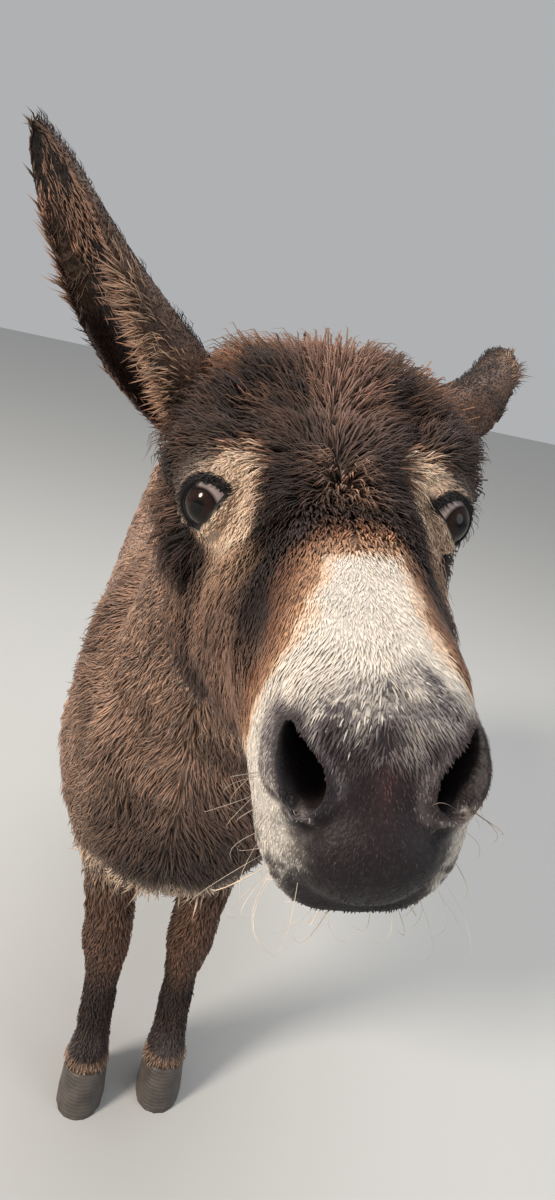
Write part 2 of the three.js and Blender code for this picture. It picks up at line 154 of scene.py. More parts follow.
# --- The head's own frame and ways to shape ---------------------------------------------------------
# Places on the head are given in its own frame: the origin lies between the eyes on the forehead,
# x runs to the donkey's left, -y to the nose and z out of the forehead. Everything is in metres.

HEAD_TURN, HEAD_DOWN, HEAD_ROLL = (math.radians(a) for a in (6.0, 13.5, -6.7))
EYE_IN_HEAD = np.array((0.083, 0.004, -0.041))
EYE_RADIUS = 0.021


def head_frame():
    turn = Matrix.Rotation(HEAD_TURN, 3, "Z") @ Matrix.Rotation(HEAD_DOWN, 3, "X")
    turn = np.array(turn @ Matrix.Rotation(HEAD_ROLL, 3, "Y"))
    eyes = np.array((middle("eye_left") + middle("eye_right")) / 2)
    return turn, eyes - turn @ (EYE_IN_HEAD * (0, 1, 1))


HEAD_AXES, HEAD_ORIGIN = head_frame()


def in_head(points):
    return (points - HEAD_ORIGIN) @ HEAD_AXES


def from_head(points):
    return points @ HEAD_AXES.T + HEAD_ORIGIN


def step(low, high, values):
    """0 below low, 1 above high and a smooth climb between. With low over high it falls instead."""
    t = np.clip((values - low) / (high - low), 0.0, 1.0)
    return t * t * (3.0 - 2.0 * t)


def mound(points, centre, radii):
    """1 at centre, falling off smoothly over the given radii."""
    return np.exp(-(((points - centre) / radii) ** 2).sum(axis=1))


def mix(a, b, share):
    return a + (b - a) * share


# --- Skin ---------------------------------------------------------------------------------------------
# One skin under the coat, from the lips to the hooves and the end of the tail. It is the flesh nodes
# fused into one body, drawn in by the depth of the coat, and shaped with lids, nostrils and folds.

FLESH = ["head", "neck", "trunk", "tail", "eye_left", "eye_right"]
FLESH += [f"leg_{end}_{side}" for end in ("front", "hind") for side in ("left", "right")]
JOIN_GROWTH = 0.0005  # closes the thin cuts between the nodes
SKIN_VOXEL = 0.003
PLUG_RADII = (0.0145, 0.0215, 0.0225)
PLUG_IN_HEAD = np.array((0.0405, -0.2425, -0.0540))


def fill_nostrils(bm):
    """Plugs the flesh's nostril pits, which are shaped again once the skin is fine enough."""
    for side in (-1, 1):
        made = bmesh.ops.create_icosphere(bm, subdivisions=3, radius=1.0)
        for vertex in made["verts"]:
            held = np.array(vertex.co) * PLUG_RADII + PLUG_IN_HEAD * (side, 1, 1)
            vertex.co = from_head(held)


def applied(body):
    """The mesh that an object's modifier gives. The object itself is removed."""
    made = bpy.data.meshes.new_from_object(body.evaluated_get(bpy.context.evaluated_depsgraph_get()))
    bpy.data.objects.remove(body)
    return made


def fused(mesh, voxel):
    """One even skin round all that the mesh holds, with faces of about this size."""
    body = laid_in("rough", mesh)
    fuse = body.modifiers.new("fuse", "REMESH")
    fuse.mode = "VOXEL"
    fuse.voxel_size = voxel
    return applied(body)


def fused_flesh():
    bm = bmesh.new()
    for name in FLESH:
        bm.from_mesh(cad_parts[name].data)
    bmesh.ops.remove_doubles(bm, verts=bm.verts, dist=1e-5)
    for vertex in bm.verts:
        vertex.co += vertex.normal * JOIN_GROWTH
    fill_nostrils(bm)
    return fused(mesh_of(bm, "flesh"), SKIN_VOXEL)


def numbers(items, key, width, kind=np.float32):
    """A property of mesh items as an array with this many columns."""
    found = np.empty(len(items) * width, kind)
    items.foreach_get(key, found)
    return found.reshape(-1, width) if width > 1 else found


def places_of(mesh):
    return numbers(mesh.vertices, "co", 3).astype(float)


def edges_of(mesh):
    return numbers(mesh.edges, "vertices", 2, np.int32)


def place(mesh, points):
    mesh.vertices.foreach_set("co", points.astype(np.float32).ravel())
    mesh.update()


def shade_smooth(mesh):
    mesh.polygons.foreach_set("use_smooth", [True] * len(mesh.polygons))


def averaged(values, edges):
    """Each vertex's mean of its neighbours' values."""
    ends, others = np.concatenate((edges, edges[:, ::-1])).T
    count = np.bincount(ends, minlength=len(values))
    sums = [np.bincount(ends, values[others, i], len(values)) for i in range(values.shape[1])]
    return np.stack(sums, axis=1) / np.maximum(count, 1)[:, None]


def smoothed(points, edges, rounds, share=1.0):
    """Evens out facets and keeps the volume: each round draws in, then out again by a little more."""
    for _ in range(rounds):
        for pull in (0.55, -0.57):
            points = points + pull * share * (averaged(points, edges) - points)
    return points


def near_node(points, node, reach):
    """Which points lie within reach of a node's surface."""
    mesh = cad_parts[node].data
    faces = numbers(mesh.polygons, "vertices", 3, np.int32).tolist()
    tree = BVHTree.FromPolygons([v.co for v in mesh.vertices], faces)
    low, high = (np.array(corner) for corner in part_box(node))
    found = np.all((points > low - reach) & (points < high + reach), axis=1)
    for i in np.flatnonzero(found):
        found[i] = tree.find_nearest(points[i], reach)[0] is not None
    return found


def behind_poll(points):
    """How far behind the head a point lies. The head ends on a plane behind the poll."""
    held = in_head(points)
    return (held[:, 1] - 0.25 * held[:, 2]) / math.hypot(1, 0.25) - 0.194


DRAWN_IN = {
    "body": 0.013, "belly": 0.016, "cheek": 0.010, "poll": 0.009, "nose": 0.0022, "chin": 0.006,
    "muzzle": 0.0008, "eye": 0.0015, "forearm": 0.010, "cannon": 0.0042, "pastern": 0.003,
    "dock": 0.010, "switch": 0.015,
}
CORONET_Z = 0.064


def coat_depth(points, tail):
    """How deep the coat is over each point of the flesh."""
    depth = np.full(len(points), DRAWN_IN["body"])
    z = points[:, 2]
    depth = mix(depth, DRAWN_IN["belly"], step(0.56, 0.48, z) * step(0.40, 0.46, z))
    leg = step(0.53, 0.46, z)
    depth = mix(depth, DRAWN_IN["forearm"], leg * step(0.44, 0.40, z))
    depth = mix(depth, DRAWN_IN["cannon"], step(0.44, 0.30, z))
    depth = mix(depth, DRAWN_IN["pastern"], step(0.14, 0.10, z))
    depth *= step(CORONET_Z - 0.004, CORONET_Z + 0.012, z)
    held = in_head(points)
    face = mix(DRAWN_IN["cheek"], DRAWN_IN["poll"], step(-0.06, 0.0, held[:, 2]))
    face = mix(face, DRAWN_IN["nose"], step(0.0, -0.10, held[:, 1]) * step(-0.13, -0.06, held[:, 2]))
    face = mix(face, DRAWN_IN["chin"], step(-0.02, -0.12, held[:, 1]) * step(-0.06, -0.10, held[:, 2]))
    face = mix(face, DRAWN_IN["muzzle"], step(-0.15, -0.205, held[:, 1]))
    by_eye = np.clip(1.6 * mound(mirrored(held), EYE_IN_HEAD, (0.034, 0.034, 0.03)), 0, 1)
    face = mix(face, DRAWN_IN["eye"], by_eye)
    depth = mix(depth, face, step(0.03, -0.03, behind_poll(points)))
    depth[tail] = mix(DRAWN_IN["dock"], DRAWN_IN["switch"], step(0.66, 0.56, z))[tail]
    return depth


def thin_out(mesh, kept, triangles):
    """Merges the smallest faces away outside the kept vertices, down to a number of triangles."""
    body = laid_in("thin_out", mesh)
    group = body.vertex_groups.new(name="thin")
    group.add(np.flatnonzero(~kept).tolist(), 1.0, "ADD")
    fewer = body.modifiers.new("fewer", "DECIMATE")
    fewer.vertex_group = group.name
    fewer.ratio = triangles / (2.0 * len(mesh.polygons))
    return applied(body)


SKIN_TRIANGLES = 112000  # before the lids and the muzzle are refined


def vertex_normals(mesh):
    return numbers(mesh.vertex_normals, "vector", 3).astype(float)


def mirrored(held):
    """Points of the head's frame with both sides laid on the left one."""
    return np.column_stack((np.abs(held[:, 0]), held[:, 1:]))


def along(points, start, end, radius):
    """1 on the line from start to end, falling off smoothly over the radius."""
    start, way = np.array(start), np.array(end) - np.array(start)
    t = np.clip((points - start) @ way / (way @ way), 0.0, 1.0)
    away = np.linalg.norm(points - start - t[:, None] * way, axis=1)
    return np.exp(-((away / radius) ** 2))


# Each form of the face: its centre and radii, or its two ends and radius, and how far it stands out.
# They are given for the left side and made on both.
FACE_MOUNDS = [
    ((0.066, 0.060, 0.004), (0.016, 0.020, 0.016), -0.0045),  # the hollow over the eye
    ((0.060, -0.070, -0.040), (0.016, 0.050, 0.020), -0.0030),  # the side of the nose bridge
    ((0.040, -0.205, -0.030), (0.016, 0.022, 0.016), 0.0025),  # the nostril's roof
    ((0.0, -0.262, -0.060), (0.020, 0.020, 0.024), -0.0015),  # between the nostrils
    ((0.058, 0.060, -0.160), (0.050, 0.060, 0.060), 0.0030),  # the cheek muscle
    ((0.0, -0.190, -0.020), (0.018, 0.030, 0.020), -0.0015),  # the end of the nose bone
]
FACE_LINES = [
    ((0.098, 0.020, -0.082), (0.068, -0.100, -0.088), 0.011, 0.0028),  # the cheek bone's crest
    ((0.034, 0.060, 0.012), (0.028, -0.170, -0.004), 0.010, 0.0014),  # the nose bridge's edge
    ((0.096, -0.012, -0.112), (0.060, -0.012, -0.200), 0.012, -0.0030),  # the cheek's front edge
    ((0.056, -0.222, -0.098), (0.030, -0.262, -0.108), 0.008, -0.0030),  # under the nostril
    ((0.060, -0.226, -0.062), (0.050, -0.264, -0.066), 0.0050, -0.0024),  # under the nostril's wing
    ((0.050, -0.264, -0.066), (0.032, -0.270, -0.082), 0.0050, -0.0022),
    ((0.0, -0.290, -0.070), (0.0, -0.286, -0.128), 0.004, -0.0016),  # the groove in the upper lip
    ((0.048, -0.150, -0.128), (0.062, -0.188, -0.112), 0.006, -0.0020),  # behind the mouth's corner
]


def face_forms(held):
    """How far each point of the face is raised or sunk."""
    side = mirrored(held)
    lift = np.zeros(len(held))
    for centre, radii, amount in FACE_MOUNDS:
        lift += amount * mound(side, centre, radii)
    for start, end, radius, amount in FACE_LINES:
        lift += amount * along(side, start, end, radius)
    return lift


def keep_in_order(bm, mesh):
    """Keeps a bmesh as the mesh. The operators leave their faces in an order that differs from run to
    run, so the faces are put in the order of their corners. The coat then grows the same each time."""
    bm.verts.index_update()
    points = [vertex.co[:] for vertex in bm.verts]
    rings = [[vertex.index for vertex in face.verts] for face in bm.faces]
    bm.free()
    firsts = [ring.index(min(ring)) for ring in rings]
    mesh.clear_geometry()
    mesh.from_pydata(points, [], sorted(ring[i:] + ring[:i] for ring, i in zip(rings, firsts, strict=True)))


def refine(mesh, chosen):
    """Splits each chosen face into four."""
    bm = bmesh.new()
    bm.from_mesh(mesh)
    bm.faces.ensure_lookup_table()
    edges = dict.fromkeys(edge for i in np.flatnonzero(chosen) for edge in bm.faces[i].edges)
    bmesh.ops.subdivide_edges(bm, edges=list(edges), cuts=1, use_grid_fill=True)
    keep_in_order(bm, mesh)


def face_middles(mesh):
    return in_head(numbers(mesh.polygons, "center", 3).astype(float))


# The opening between the lids, in degrees over the eyeball from the opening's own axis: across to the
# inner corner, and up to the upper lid. The upper lid is an arc and the lower one nearly straight.
LID_AXIS = np.array((0.514, -0.746, 0.423))
LID_ACROSS = np.array((-0.633, 0.014, 0.774))
LID_UP = np.cross(LID_ACROSS, LID_AXIS)
LID_MIDDLE = -10.0
LID_HALF = 56.0
LID_CORNERS = -24.0
UPPER_LID_RISE = 64.0
LOWER_LID_SAG = 9.0
LID_RADIUS = EYE_RADIUS + 0.0004  # where the lids' inner edge rides on the eyeball
LID_POINTS = 72
LIDS_REACH = 0.052  # the lids and their folds lie within this of the eye's middle


def lid_outline(count):
    """Points round the opening, from the inner corner over the upper lid and back along the lower."""
    t = np.cos(np.linspace(0.0, math.pi, count // 2, endpoint=False))
    upper = LID_CORNERS + UPPER_LID_RISE * (1 - np.abs(t) ** 2.4) ** 0.6
    lower = LID_CORNERS - LOWER_LID_SAG * (1 - t * t)
    over = np.column_stack((LID_MIDDLE + LID_HALF * t, upper))
    under = np.column_stack((LID_MIDDLE - LID_HALF * t, lower))
    return np.vstack((over, under))


def on_eye(angles, radius):
    """Places on a ball round the left eye's middle, in the head's frame, from angles off the lid axis."""
    turn = np.radians(np.linalg.norm(angles, axis=1))
    way = angles / np.maximum(np.linalg.norm(angles, axis=1), 1e-9)[:, None]
    flat = way[:, :1] * LID_ACROSS + way[:, 1:] * LID_UP
    return EYE_IN_HEAD + radius * (np.cos(turn)[:, None] * LID_AXIS + np.sin(turn)[:, None] * flat)


def eye_angles(side):
    """The same angles for points of the head's frame, and how far the points are from the eye's middle."""
    away = side - EYE_IN_HEAD
    reach = np.linalg.norm(away, axis=1)
    way = away / np.maximum(reach, 1e-9)[:, None]
    turn = np.degrees(np.arccos(np.clip(way @ LID_AXIS, -1, 1)))
    flat = np.column_stack((way @ LID_ACROSS, way @ LID_UP))
    flat /= np.maximum(np.linalg.norm(flat, axis=1), 1e-9)[:, None]
    return flat * turn[:, None], reach


def from_outline(flat, outline):
    """How far points of a plane lie from an outline, below zero inside it."""
    nearest = np.full(len(flat), np.inf)
    inside = np.zeros(len(flat), bool)
    for start, end in zip(outline, np.roll(outline, -1, axis=0), strict=True):
        way = end - start
        t = np.clip((flat - start) @ way / (way @ way), 0, 1)
        nearest = np.minimum(nearest, np.linalg.norm(flat - start - t[:, None] * way, axis=1))
        crosses = (start[1] > flat[:, 1]) != (end[1] > flat[:, 1])
        level = start[0] + (flat[:, 1] - start[1]) * way[0] / (way[1] if way[1] else 1e-9)
        inside ^= crosses & (flat[:, 0] < level)
    return np.where(inside, -nearest, nearest)


def from_lid_edge(side):
    """Metres along the eyeball from the edge of the lids, below zero inside the opening, with the angles
    and the distance from the eye's middle."""
    angles, reach = eye_angles(side)
    return np.radians(from_outline(angles, lid_outline(LID_POINTS))) * LID_RADIUS, angles, reach


def put_back(held, near, moved):
    """The points with the near ones replaced by ones made on the left, each on its own side."""
    result = held.copy()
    result[near] = moved * np.column_stack((np.where(held[near, 0] < 0, -1, 1), np.ones((near.sum(), 2))))
    return result


def with_lids(held):
    """Draws the skin round each eye over the eyeball, with rolled lid edges and the folds above them."""
    side = mirrored(held)
    near = np.linalg.norm(side - EYE_IN_HEAD, axis=1) < LIDS_REACH
    edge, angles, reach = from_lid_edge(side[near])
    facing = step(125.0, 95.0, np.linalg.norm(angles, axis=1))
    upper = step(-22.0, 4.0, angles[:, 1])
    lid = EYE_RADIUS + 0.0026 + 0.30 * np.clip(edge - 0.002, 0, None)
    lid -= 0.0026 * (1 - step(-0.0006, 0.0018, edge))
    target = mix(lid, reach, step(0.006, 0.017, edge))
    crease = np.exp(-(((edge - mix(0.0065, 0.0085, upper)) / 0.0011) ** 2))
    second = np.exp(-(((edge - 0.0130) / 0.0014) ** 2))
    target -= crease * mix(0.0010, 0.0017, upper) + second * 0.0011 * upper
    target = mix(EYE_RADIUS - 0.0045, target, step(-0.0022, -0.0002, edge))
    radius = mix(reach, target, facing)
    away = side[near] - EYE_IN_HEAD
    moved = EYE_IN_HEAD + away * (radius / np.maximum(reach, 1e-6))[:, None]
    return put_back(held, near, moved)


# The nostril's opening is a slanting oval, drawn on a plane that faces forwards, outwards and up. It is
# pinched at the top and hollowed back and inwards, with a rolled outer wing.
NOSTRIL = np.array((0.0400, -0.2580, -0.0480))
NOSTRIL_FACING = np.array((0.30, -0.85, 0.43))
NOSTRIL_OUTWARDS = np.array((0.943, 0.332, 0.0))
NOSTRIL_UP = np.array((-0.143, 0.405, 0.903))
NOSTRIL_SLANT = math.radians(24.0)
NOSTRIL_HALF_LENGTH, NOSTRIL_HALF_WIDTH = 0.0215, 0.0098
NOSTRIL_DEPTH = 0.030
NOSTRIL_REACH = 0.045  # the nostril's forms lie within this of its middle


def nostril_place(side):
    """Where points lie round the left nostril: how far out of its edge, how far outwards and up."""
    rel = side - NOSTRIL
    out, up = rel @ NOSTRIL_OUTWARDS, rel @ NOSTRIL_UP
    length = up * math.cos(NOSTRIL_SLANT) + out * math.sin(NOSTRIL_SLANT)
    width = out * math.cos(NOSTRIL_SLANT) - up * math.sin(NOSTRIL_SLANT)
    narrow = NOSTRIL_HALF_WIDTH * (1.0 - 0.42 * step(-0.004, NOSTRIL_HALF_LENGTH, length))
    bent = width - 0.0025 * np.sin(length / NOSTRIL_HALF_LENGTH * 1.6)
    ring = np.sqrt((length / NOSTRIL_HALF_LENGTH) ** 2 + (bent / narrow) ** 2)
    across = (narrow / NOSTRIL_HALF_LENGTH * length) ** 2 / NOSTRIL_HALF_LENGTH**2 + (bent / narrow) ** 2
    edge = (ring - 1.0) * narrow / np.maximum(np.sqrt(across) / np.maximum(ring, 1e-6), 0.3)
    return edge, bent, length


def with_nostrils(held):
    """Hollows out the nostrils and rolls their wings."""
    side = mirrored(held)
    near = np.linalg.norm(side - NOSTRIL, axis=1) < NOSTRIL_REACH
    near &= held[:, 1] < -0.215
    edge, across, length = nostril_place(side[near])
    wing = step(-0.004, 0.006, across)
    slope = mix(0.0030, 0.0100, wing)
    inside = np.clip(-edge / slope, 0.0, 1.0)
    depth = NOSTRIL_DEPTH * np.sqrt(1.0 - (1.0 - inside) ** 2) * mix(1.0, 0.75, wing)
    inwards = -NOSTRIL_FACING / np.linalg.norm(NOSTRIL_FACING) + (-0.25, 0.10, -0.10)
    moved = side[near] + depth[:, None] * inwards
    roll = 0.0026 * wing * np.exp(-(((edge - 0.0025) / 0.0040) ** 2))
    roll += 0.0012 * (1 - wing) * np.exp(-(((edge - 0.0015) / 0.0025) ** 2))
    dip = 0.0020 * wing * np.exp(-(((edge - 0.0125) / 0.0045) ** 2)) * step(0.020, 0.008, length)
    moved = moved + (roll - dip)[:, None] * NOSTRIL_FACING
    return put_back(held, near, moved)


MUZZLE_Y = -0.185  # the finer part of the skin lies ahead of this
FULL_SKIN = -0.14  # the fused skin keeps all its faces ahead of this, from the plane behind the poll
FINE_BY_EYE = 0.040
FINEST_BY_EYE, FINEST_BY_LID_EDGE = 0.036, 0.0055


def skin_of_flesh():
    mesh = fused_flesh()
    points = smoothed(places_of(mesh), edges_of(mesh), 4)
    place(mesh, points)
    mesh = thin_out(mesh, behind_poll(points) < FULL_SKIN, SKIN_TRIANGLES)

    points, edges = places_of(mesh), edges_of(mesh)
    tail = near_node(points, "tail", 0.002)
    broad = step(-0.01, 0.03, behind_poll(points)) * step(0.44, 0.52, points[:, 2])
    broad = averaged(averaged(broad[:, None], edges), edges)
    points = smoothed(points, edges, 24, broad)
    side = mirrored(in_head(points))
    firm = 2.0 * mound(side, EYE_IN_HEAD, (0.03, 0.03, 0.03))
    firm += along(side, (0.0, -0.290, -0.136), (0.055, -0.190, -0.118), 0.012)
    points = smoothed(points, edges, 70, np.clip(1.0 - firm, 0.0, 1.0)[:, None])
    place(mesh, points)
    depth = coat_depth(points, tail)[:, None]
    for _ in range(6):
        depth = averaged(depth, edges)
    place(mesh, points - vertex_normals(mesh) * depth)

    middles = face_middles(mesh)
    near_eye = np.linalg.norm(mirrored(middles) - EYE_IN_HEAD, axis=1) < FINE_BY_EYE
    refine(mesh, near_eye | (middles[:, 1] < MUZZLE_Y))
    middles = face_middles(mesh)
    at_lids = np.linalg.norm(mirrored(middles) - EYE_IN_HEAD, axis=1) < FINEST_BY_EYE
    at_lids[at_lids] = np.abs(from_lid_edge(mirrored(middles[at_lids]))[0]) < FINEST_BY_LID_EDGE
    refine(mesh, at_lids)
    points, edges = places_of(mesh), edges_of(mesh)
    ahead = step(MUZZLE_Y + 0.01, MUZZLE_Y - 0.01, in_head(points)[:, 1])[:, None]
    points = smoothed(points, edges, 10, ahead)
    place(mesh, points)
    lift = face_forms(in_head(points)) * step(0.01, -0.02, behind_poll(points))
    points = points + vertex_normals(mesh) * lift[:, None]
    place(mesh, from_head(with_nostrils(with_lids(in_head(points)))))
    return mesh


# Each ear is a long leaf of gristle under thin skin, rolled into a funnel at its root. The right one
# stands out, open to the front, and the left one is turned back.
EAR_LENGTH = 0.256
EAR_HALF_WIDTH = 0.047
EAR_COAT = 0.0022
EAR_WALL = 0.0050
EARS = {
    "right": {"root": (-0.085, 0.146, -0.024), "tip": (-0.594, 0.226, 0.774), "open": (-0.66, -0.7, -0.3)},
    "left": {"root": (0.085, 0.146, -0.024), "tip": (0.5, 0.86, 0.02), "open": (0.7, -0.4, -0.6)},
}
EAR_AROUND, EAR_ALONG = 64, 44


def ear_axes(ear):
    up = np.array(ear["tip"]) / np.linalg.norm(ear["tip"])
    back = -np.array(ear["open"])
    back -= back @ up * up
    back /= np.linalg.norm(back)
    return np.column_stack((np.cross(back, up), back, up))


def ear_leaf(t, angle, inner):
    """Places on a leaf from its root at t 0 to its tip at 1. angle runs round the roll, in shares of its
    reach from -1 to 1, on the outside or, where inner is 1, on the inside."""
    swell = mix(0.82, 1.0, np.sin(np.minimum(t / 0.42, 1) * math.pi / 2))
    narrow = np.sqrt(np.maximum(1 - np.maximum((t - 0.42) / 0.58, 0) ** 2.2, 0.004))
    half = EAR_HALF_WIDTH * swell * narrow - EAR_COAT
    depth = half * mix(0.95, 0.55, np.minimum(t * 1.6, 1))
    reach = np.radians(mix(172.0, 92.0, np.minimum(t * 1.4, 1) ** 0.7))
    thick = np.minimum(EAR_WALL, 0.6 * half) * np.sqrt(np.clip(1.0 - np.abs(angle) ** 6, 0.0, 1.0))
    size = 1.0 - inner * thick / half
    size *= 1.0 + 0.035 * inner * np.sin(angle * 9.0) * np.sin(math.pi * t) ** 2
    turn = angle * reach
    x = half * np.sin(turn) * size
    y = depth * (np.cos(turn) * size - 0.35) - 0.018 * np.sin(t * math.pi) - EAR_COAT * (1 - 2 * inner) * 0.3
    return np.column_stack((x, y, t * (EAR_LENGTH - 2 * EAR_COAT)))


def ear_skin(ear):
    """Makes an ear's skin: a globe's grid laid round the leaf, out along one face and back on the other.
    Gives also where each of its points lies on the leaf and which way the hair runs there."""
    bm = bmesh.new()
    made = bmesh.ops.create_uvsphere(bm, u_segments=EAR_AROUND, v_segments=EAR_ALONG, radius=1.0)["verts"]
    globe = np.array([vertex.co for vertex in made])
    t = 1.0 - np.arccos(np.clip(globe[:, 2], -1, 1)) / math.pi
    t = np.clip((t * EAR_ALONG - 1.0) / (EAR_ALONG - 2.0), 0, 1)
    share = (np.arctan2(globe[:, 1], globe[:, 0]) / (2 * math.pi)) % 1.0
    inner = (share >= 0.5).astype(float)
    angle = np.where(inner > 0, 3.0 - 4.0 * share, 4.0 * share - 1.0)
    axes = ear_axes(ear)
    way = ear_leaf(np.minimum(t + 0.02, 1), angle, inner) - ear_leaf(np.maximum(t - 0.02, 0), angle, inner)
    placed = from_head(ear_leaf(t, angle, inner) @ axes.T + ear["root"])
    for vertex, spot in zip(made, placed, strict=True):
        vertex.co = spot
    bmesh.ops.recalc_face_normals(bm, faces=bm.faces)
    return mesh_of(bm, "ear"), np.column_stack((t, angle, inner)), way @ axes.T @ HEAD_AXES.T


def with_ears(mesh):
    """Adds both ears, and gives their points' places on the leaf and the way that their hair runs."""
    ears = [ear_skin(ear) for ear in EARS.values()]
    bm = bmesh.new()
    for part in (mesh, *(made for made, _, _ in ears)):
        bm.from_mesh(part)
    keep_in_order(bm, mesh)
    return np.vstack([places for _, places, _ in ears]), np.vstack([ways for _, _, ways in ears])


skin_mesh = skin_of_flesh()
face_and_body = len(skin_mesh.vertices)
ear_places, ear_ways = with_ears(skin_mesh)
shade_smooth(skin_mesh)
skin = laid_in("skin", skin_mesh)
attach(skin, "root")
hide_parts(*[name for name in FLESH if not name.startswith("eye")], "ear_left", "ear_right", "mane")

# --- Markings -----------------------------------------------------------------------------------------
# The coat is a dark brown with a pale nose edged in orange, mottled grey over dark bare skin at the
# nostrils and lips, and pale rings round the eyes. Skin and hair take their colour from the same place.
# Some light and shade is painted in as well: painted shade under the jaw, behind the eyes, on the lower
# chest and inside the nostrils, and painted light on the sides of the neck and body.


def tone(red, green, blue):
    """A colour given in shares of 255 as it looks, as the light it gives back."""
    seen = np.array((red, green, blue)) / 255.0
    return np.where(seen <= 0.04045, seen / 12.92, ((seen + 0.055) / 1.055) ** 2.4)


BROWN = tone(118, 92, 78)
WARM_BROWN = tone(140, 108, 90)
DARK_BROWN = tone(60, 43, 37)
BLACK_BROWN = tone(37, 26, 23)
SLATE = tone(92, 72, 64)
BODY_BROWN = tone(136, 107, 92)
BODY_PALE_AND_SUNLIT = tone(180, 146, 124)
POLL_BROWN = tone(132, 98, 82)
RUFOUS = tone(134, 92, 68)
ORANGE = tone(172, 134, 104)
CREAM = tone(212, 184, 160)
FAWN = tone(168, 136, 112)
WHITE = tone(204, 195, 184)
ROAN_GREY = tone(118, 109, 110)
BARE_SKIN = tone(46, 34, 37)
LIP_SKIN = tone(28, 20, 23)
LID_BLACK = tone(22, 17, 17)
BELLY_CREAM = tone(196, 172, 150)
LEG_BROWN = tone(92, 68, 55)
WHORL_BROWN = tone(136, 104, 86)
FRINGE_BROWN = tone(132, 92, 66)
MOTTLE_GREY, DEEP_MOTTLE = tone(104, 97, 100), tone(88, 76, 79)
NOSE_PINK = tone(96, 62, 62)
LIP_SPECK = tone(84, 72, 76)
WING_GREY = tone(112, 102, 104)
# The nostril's inside: dark skin with painted shade, and its outer wall with painted light.
NOSTRIL_SKIN_AND_SHADE, NOSTRIL_LIT_WALL = tone(16, 11, 11), tone(58, 46, 46)
LID_GREY = tone(150, 130, 116)
LID_PAINT_REACH = 0.045  # the lids' own colour and the bare rims lie within this of the eye's middle


def ripple(points, size, seed):
    """Soft uneven values from -1 to 1 that change over about this size."""
    table = np.random.default_rng(seed).uniform(-1, 1, (24, 24, 24))
    base = np.floor(points / size)
    share = points / size - base
    share = share * share * (3 - 2 * share)
    base = base.astype(int)
    total = np.zeros(len(points))
    for corner in np.ndindex(2, 2, 2):
        weight = np.where(corner, share, 1 - share).prod(axis=1)
        total += weight * table[tuple(((base + corner) % 24).T)]
    return total


# The pale nose's edge, as metres round the nose from its top and metres along the head.
NOSE_MIDDLE_Z = -0.090
NOSE_ROUND = 0.070
PALE_NOSE = np.array((
    (0.000, -0.129), (-0.015, -0.134), (-0.023, -0.160), (-0.030, -0.184), (-0.039, -0.201),
    (-0.052, -0.209), (-0.070, -0.206), (-0.092, -0.197), (-0.120, -0.187), (-0.150, -0.180),
    (-0.225, -0.182), (-0.225, -0.400), (0.225, -0.400), (0.225, -0.182), (0.150, -0.182),
    (0.120, -0.190), (0.092, -0.200), (0.066, -0.214), (0.044, -0.224), (0.034, -0.214),
    (0.0276, -0.198), (0.0235, -0.178), (0.0226, -0.150), (0.018, -0.127),
))
# The bare dark skin of the nose's end, seen from ahead: x and z.
DARK_END = np.array((
    (0.000, -0.044), (0.014, -0.046), (0.026, -0.058), (0.036, -0.068), (0.043, -0.078),
    (0.038, -0.090), (0.036, -0.112), (0.037, -0.130), (0.030, -0.150), (0.000, -0.160),
    (-0.030, -0.150), (-0.037, -0.130), (-0.036, -0.112), (-0.038, -0.090), (-0.043, -0.078),
    (-0.036, -0.068), (-0.026, -0.058), (-0.014, -0.046),
))
# The pale patch round an eye, on the plane that the lids' opening faces: towards the midline and up.
PALE_EYE = np.array((
    (0.049, 0.010), (0.046, -0.010), (0.037, -0.030), (0.020, -0.050), (-0.006, -0.048), (-0.022, -0.032),
    (-0.029, -0.012), (-0.025, 0.005), (-0.012, 0.017), (0.010, 0.022), (0.034, 0.020), (0.046, 0.018),
))


def painted(colour, new, share):
    return mix(colour, new, np.clip(share, 0, 1)[:, None])


def body_colour(points):
    x, z = np.abs(points[:, 0]), points[:, 2]
    broad, fine = ripple(points, 0.11, 3), ripple(points, 0.035, 4)
    colour = np.tile(BODY_BROWN, (len(points), 1))
    # Painted light: the sides of the neck and body are painted paler than the front, as if sunlit; the ripple
    # is the coat's own uneven tone.
    colour = painted(colour, BODY_PALE_AND_SUNLIT, 0.35 + 0.4 * broad + 0.35 * step(0.06, 0.13, x))
    colour = painted(colour, DARK_BROWN, 0.12 - 0.4 * fine)
    # Painted shade: the lower front of the chest, under the head, is painted dark brown and, lowest down,
    # near black.
    chest_shade = step(-0.06, -0.23, points[:, 1]) * step(0.76, 0.58, z + 0.03 * fine) * step(0.19, 0.08, x)
    colour = painted(colour, DARK_BROWN, 0.65 * chest_shade)
    colour = painted(colour, BLACK_BROWN, 0.6 * chest_shade * step(0.64, 0.53, z) * step(0.15, 0.05, x))
    spine = np.abs(points[:, 0] - mix(0.0, -0.022, step(0.0, 0.8, points[:, 1])))
    colour = painted(colour, DARK_BROWN, 0.8 * step(0.024, 0.010, spine) * step(0.90, 0.94, z))
    under = step(0.520, 0.480, z + 0.012 * fine) * step(0.37, 0.44, z + 0.02 * fine) * step(0.17, 0.11, x)
    colour = painted(colour, BELLY_CREAM, 0.95 * under)
    leg = step(0.47, 0.36, z)
    colour = painted(colour, LEG_BROWN, leg)
    patchy = 0.5 + 0.5 * broad
    colour = painted(colour, RUFOUS, 0.35 * leg * patchy * step(0.16, 0.24, z))
    colour = painted(colour, BLACK_BROWN, 0.75 * step(0.25, 0.17, z + 0.02 * broad))
    colour = painted(colour, ROAN_GREY, 0.5 * step(0.125, 0.085, z) * (0.6 + 0.6 * fine))
    return painted(colour, FAWN, 0.7 * step(0.074, 0.067, z))


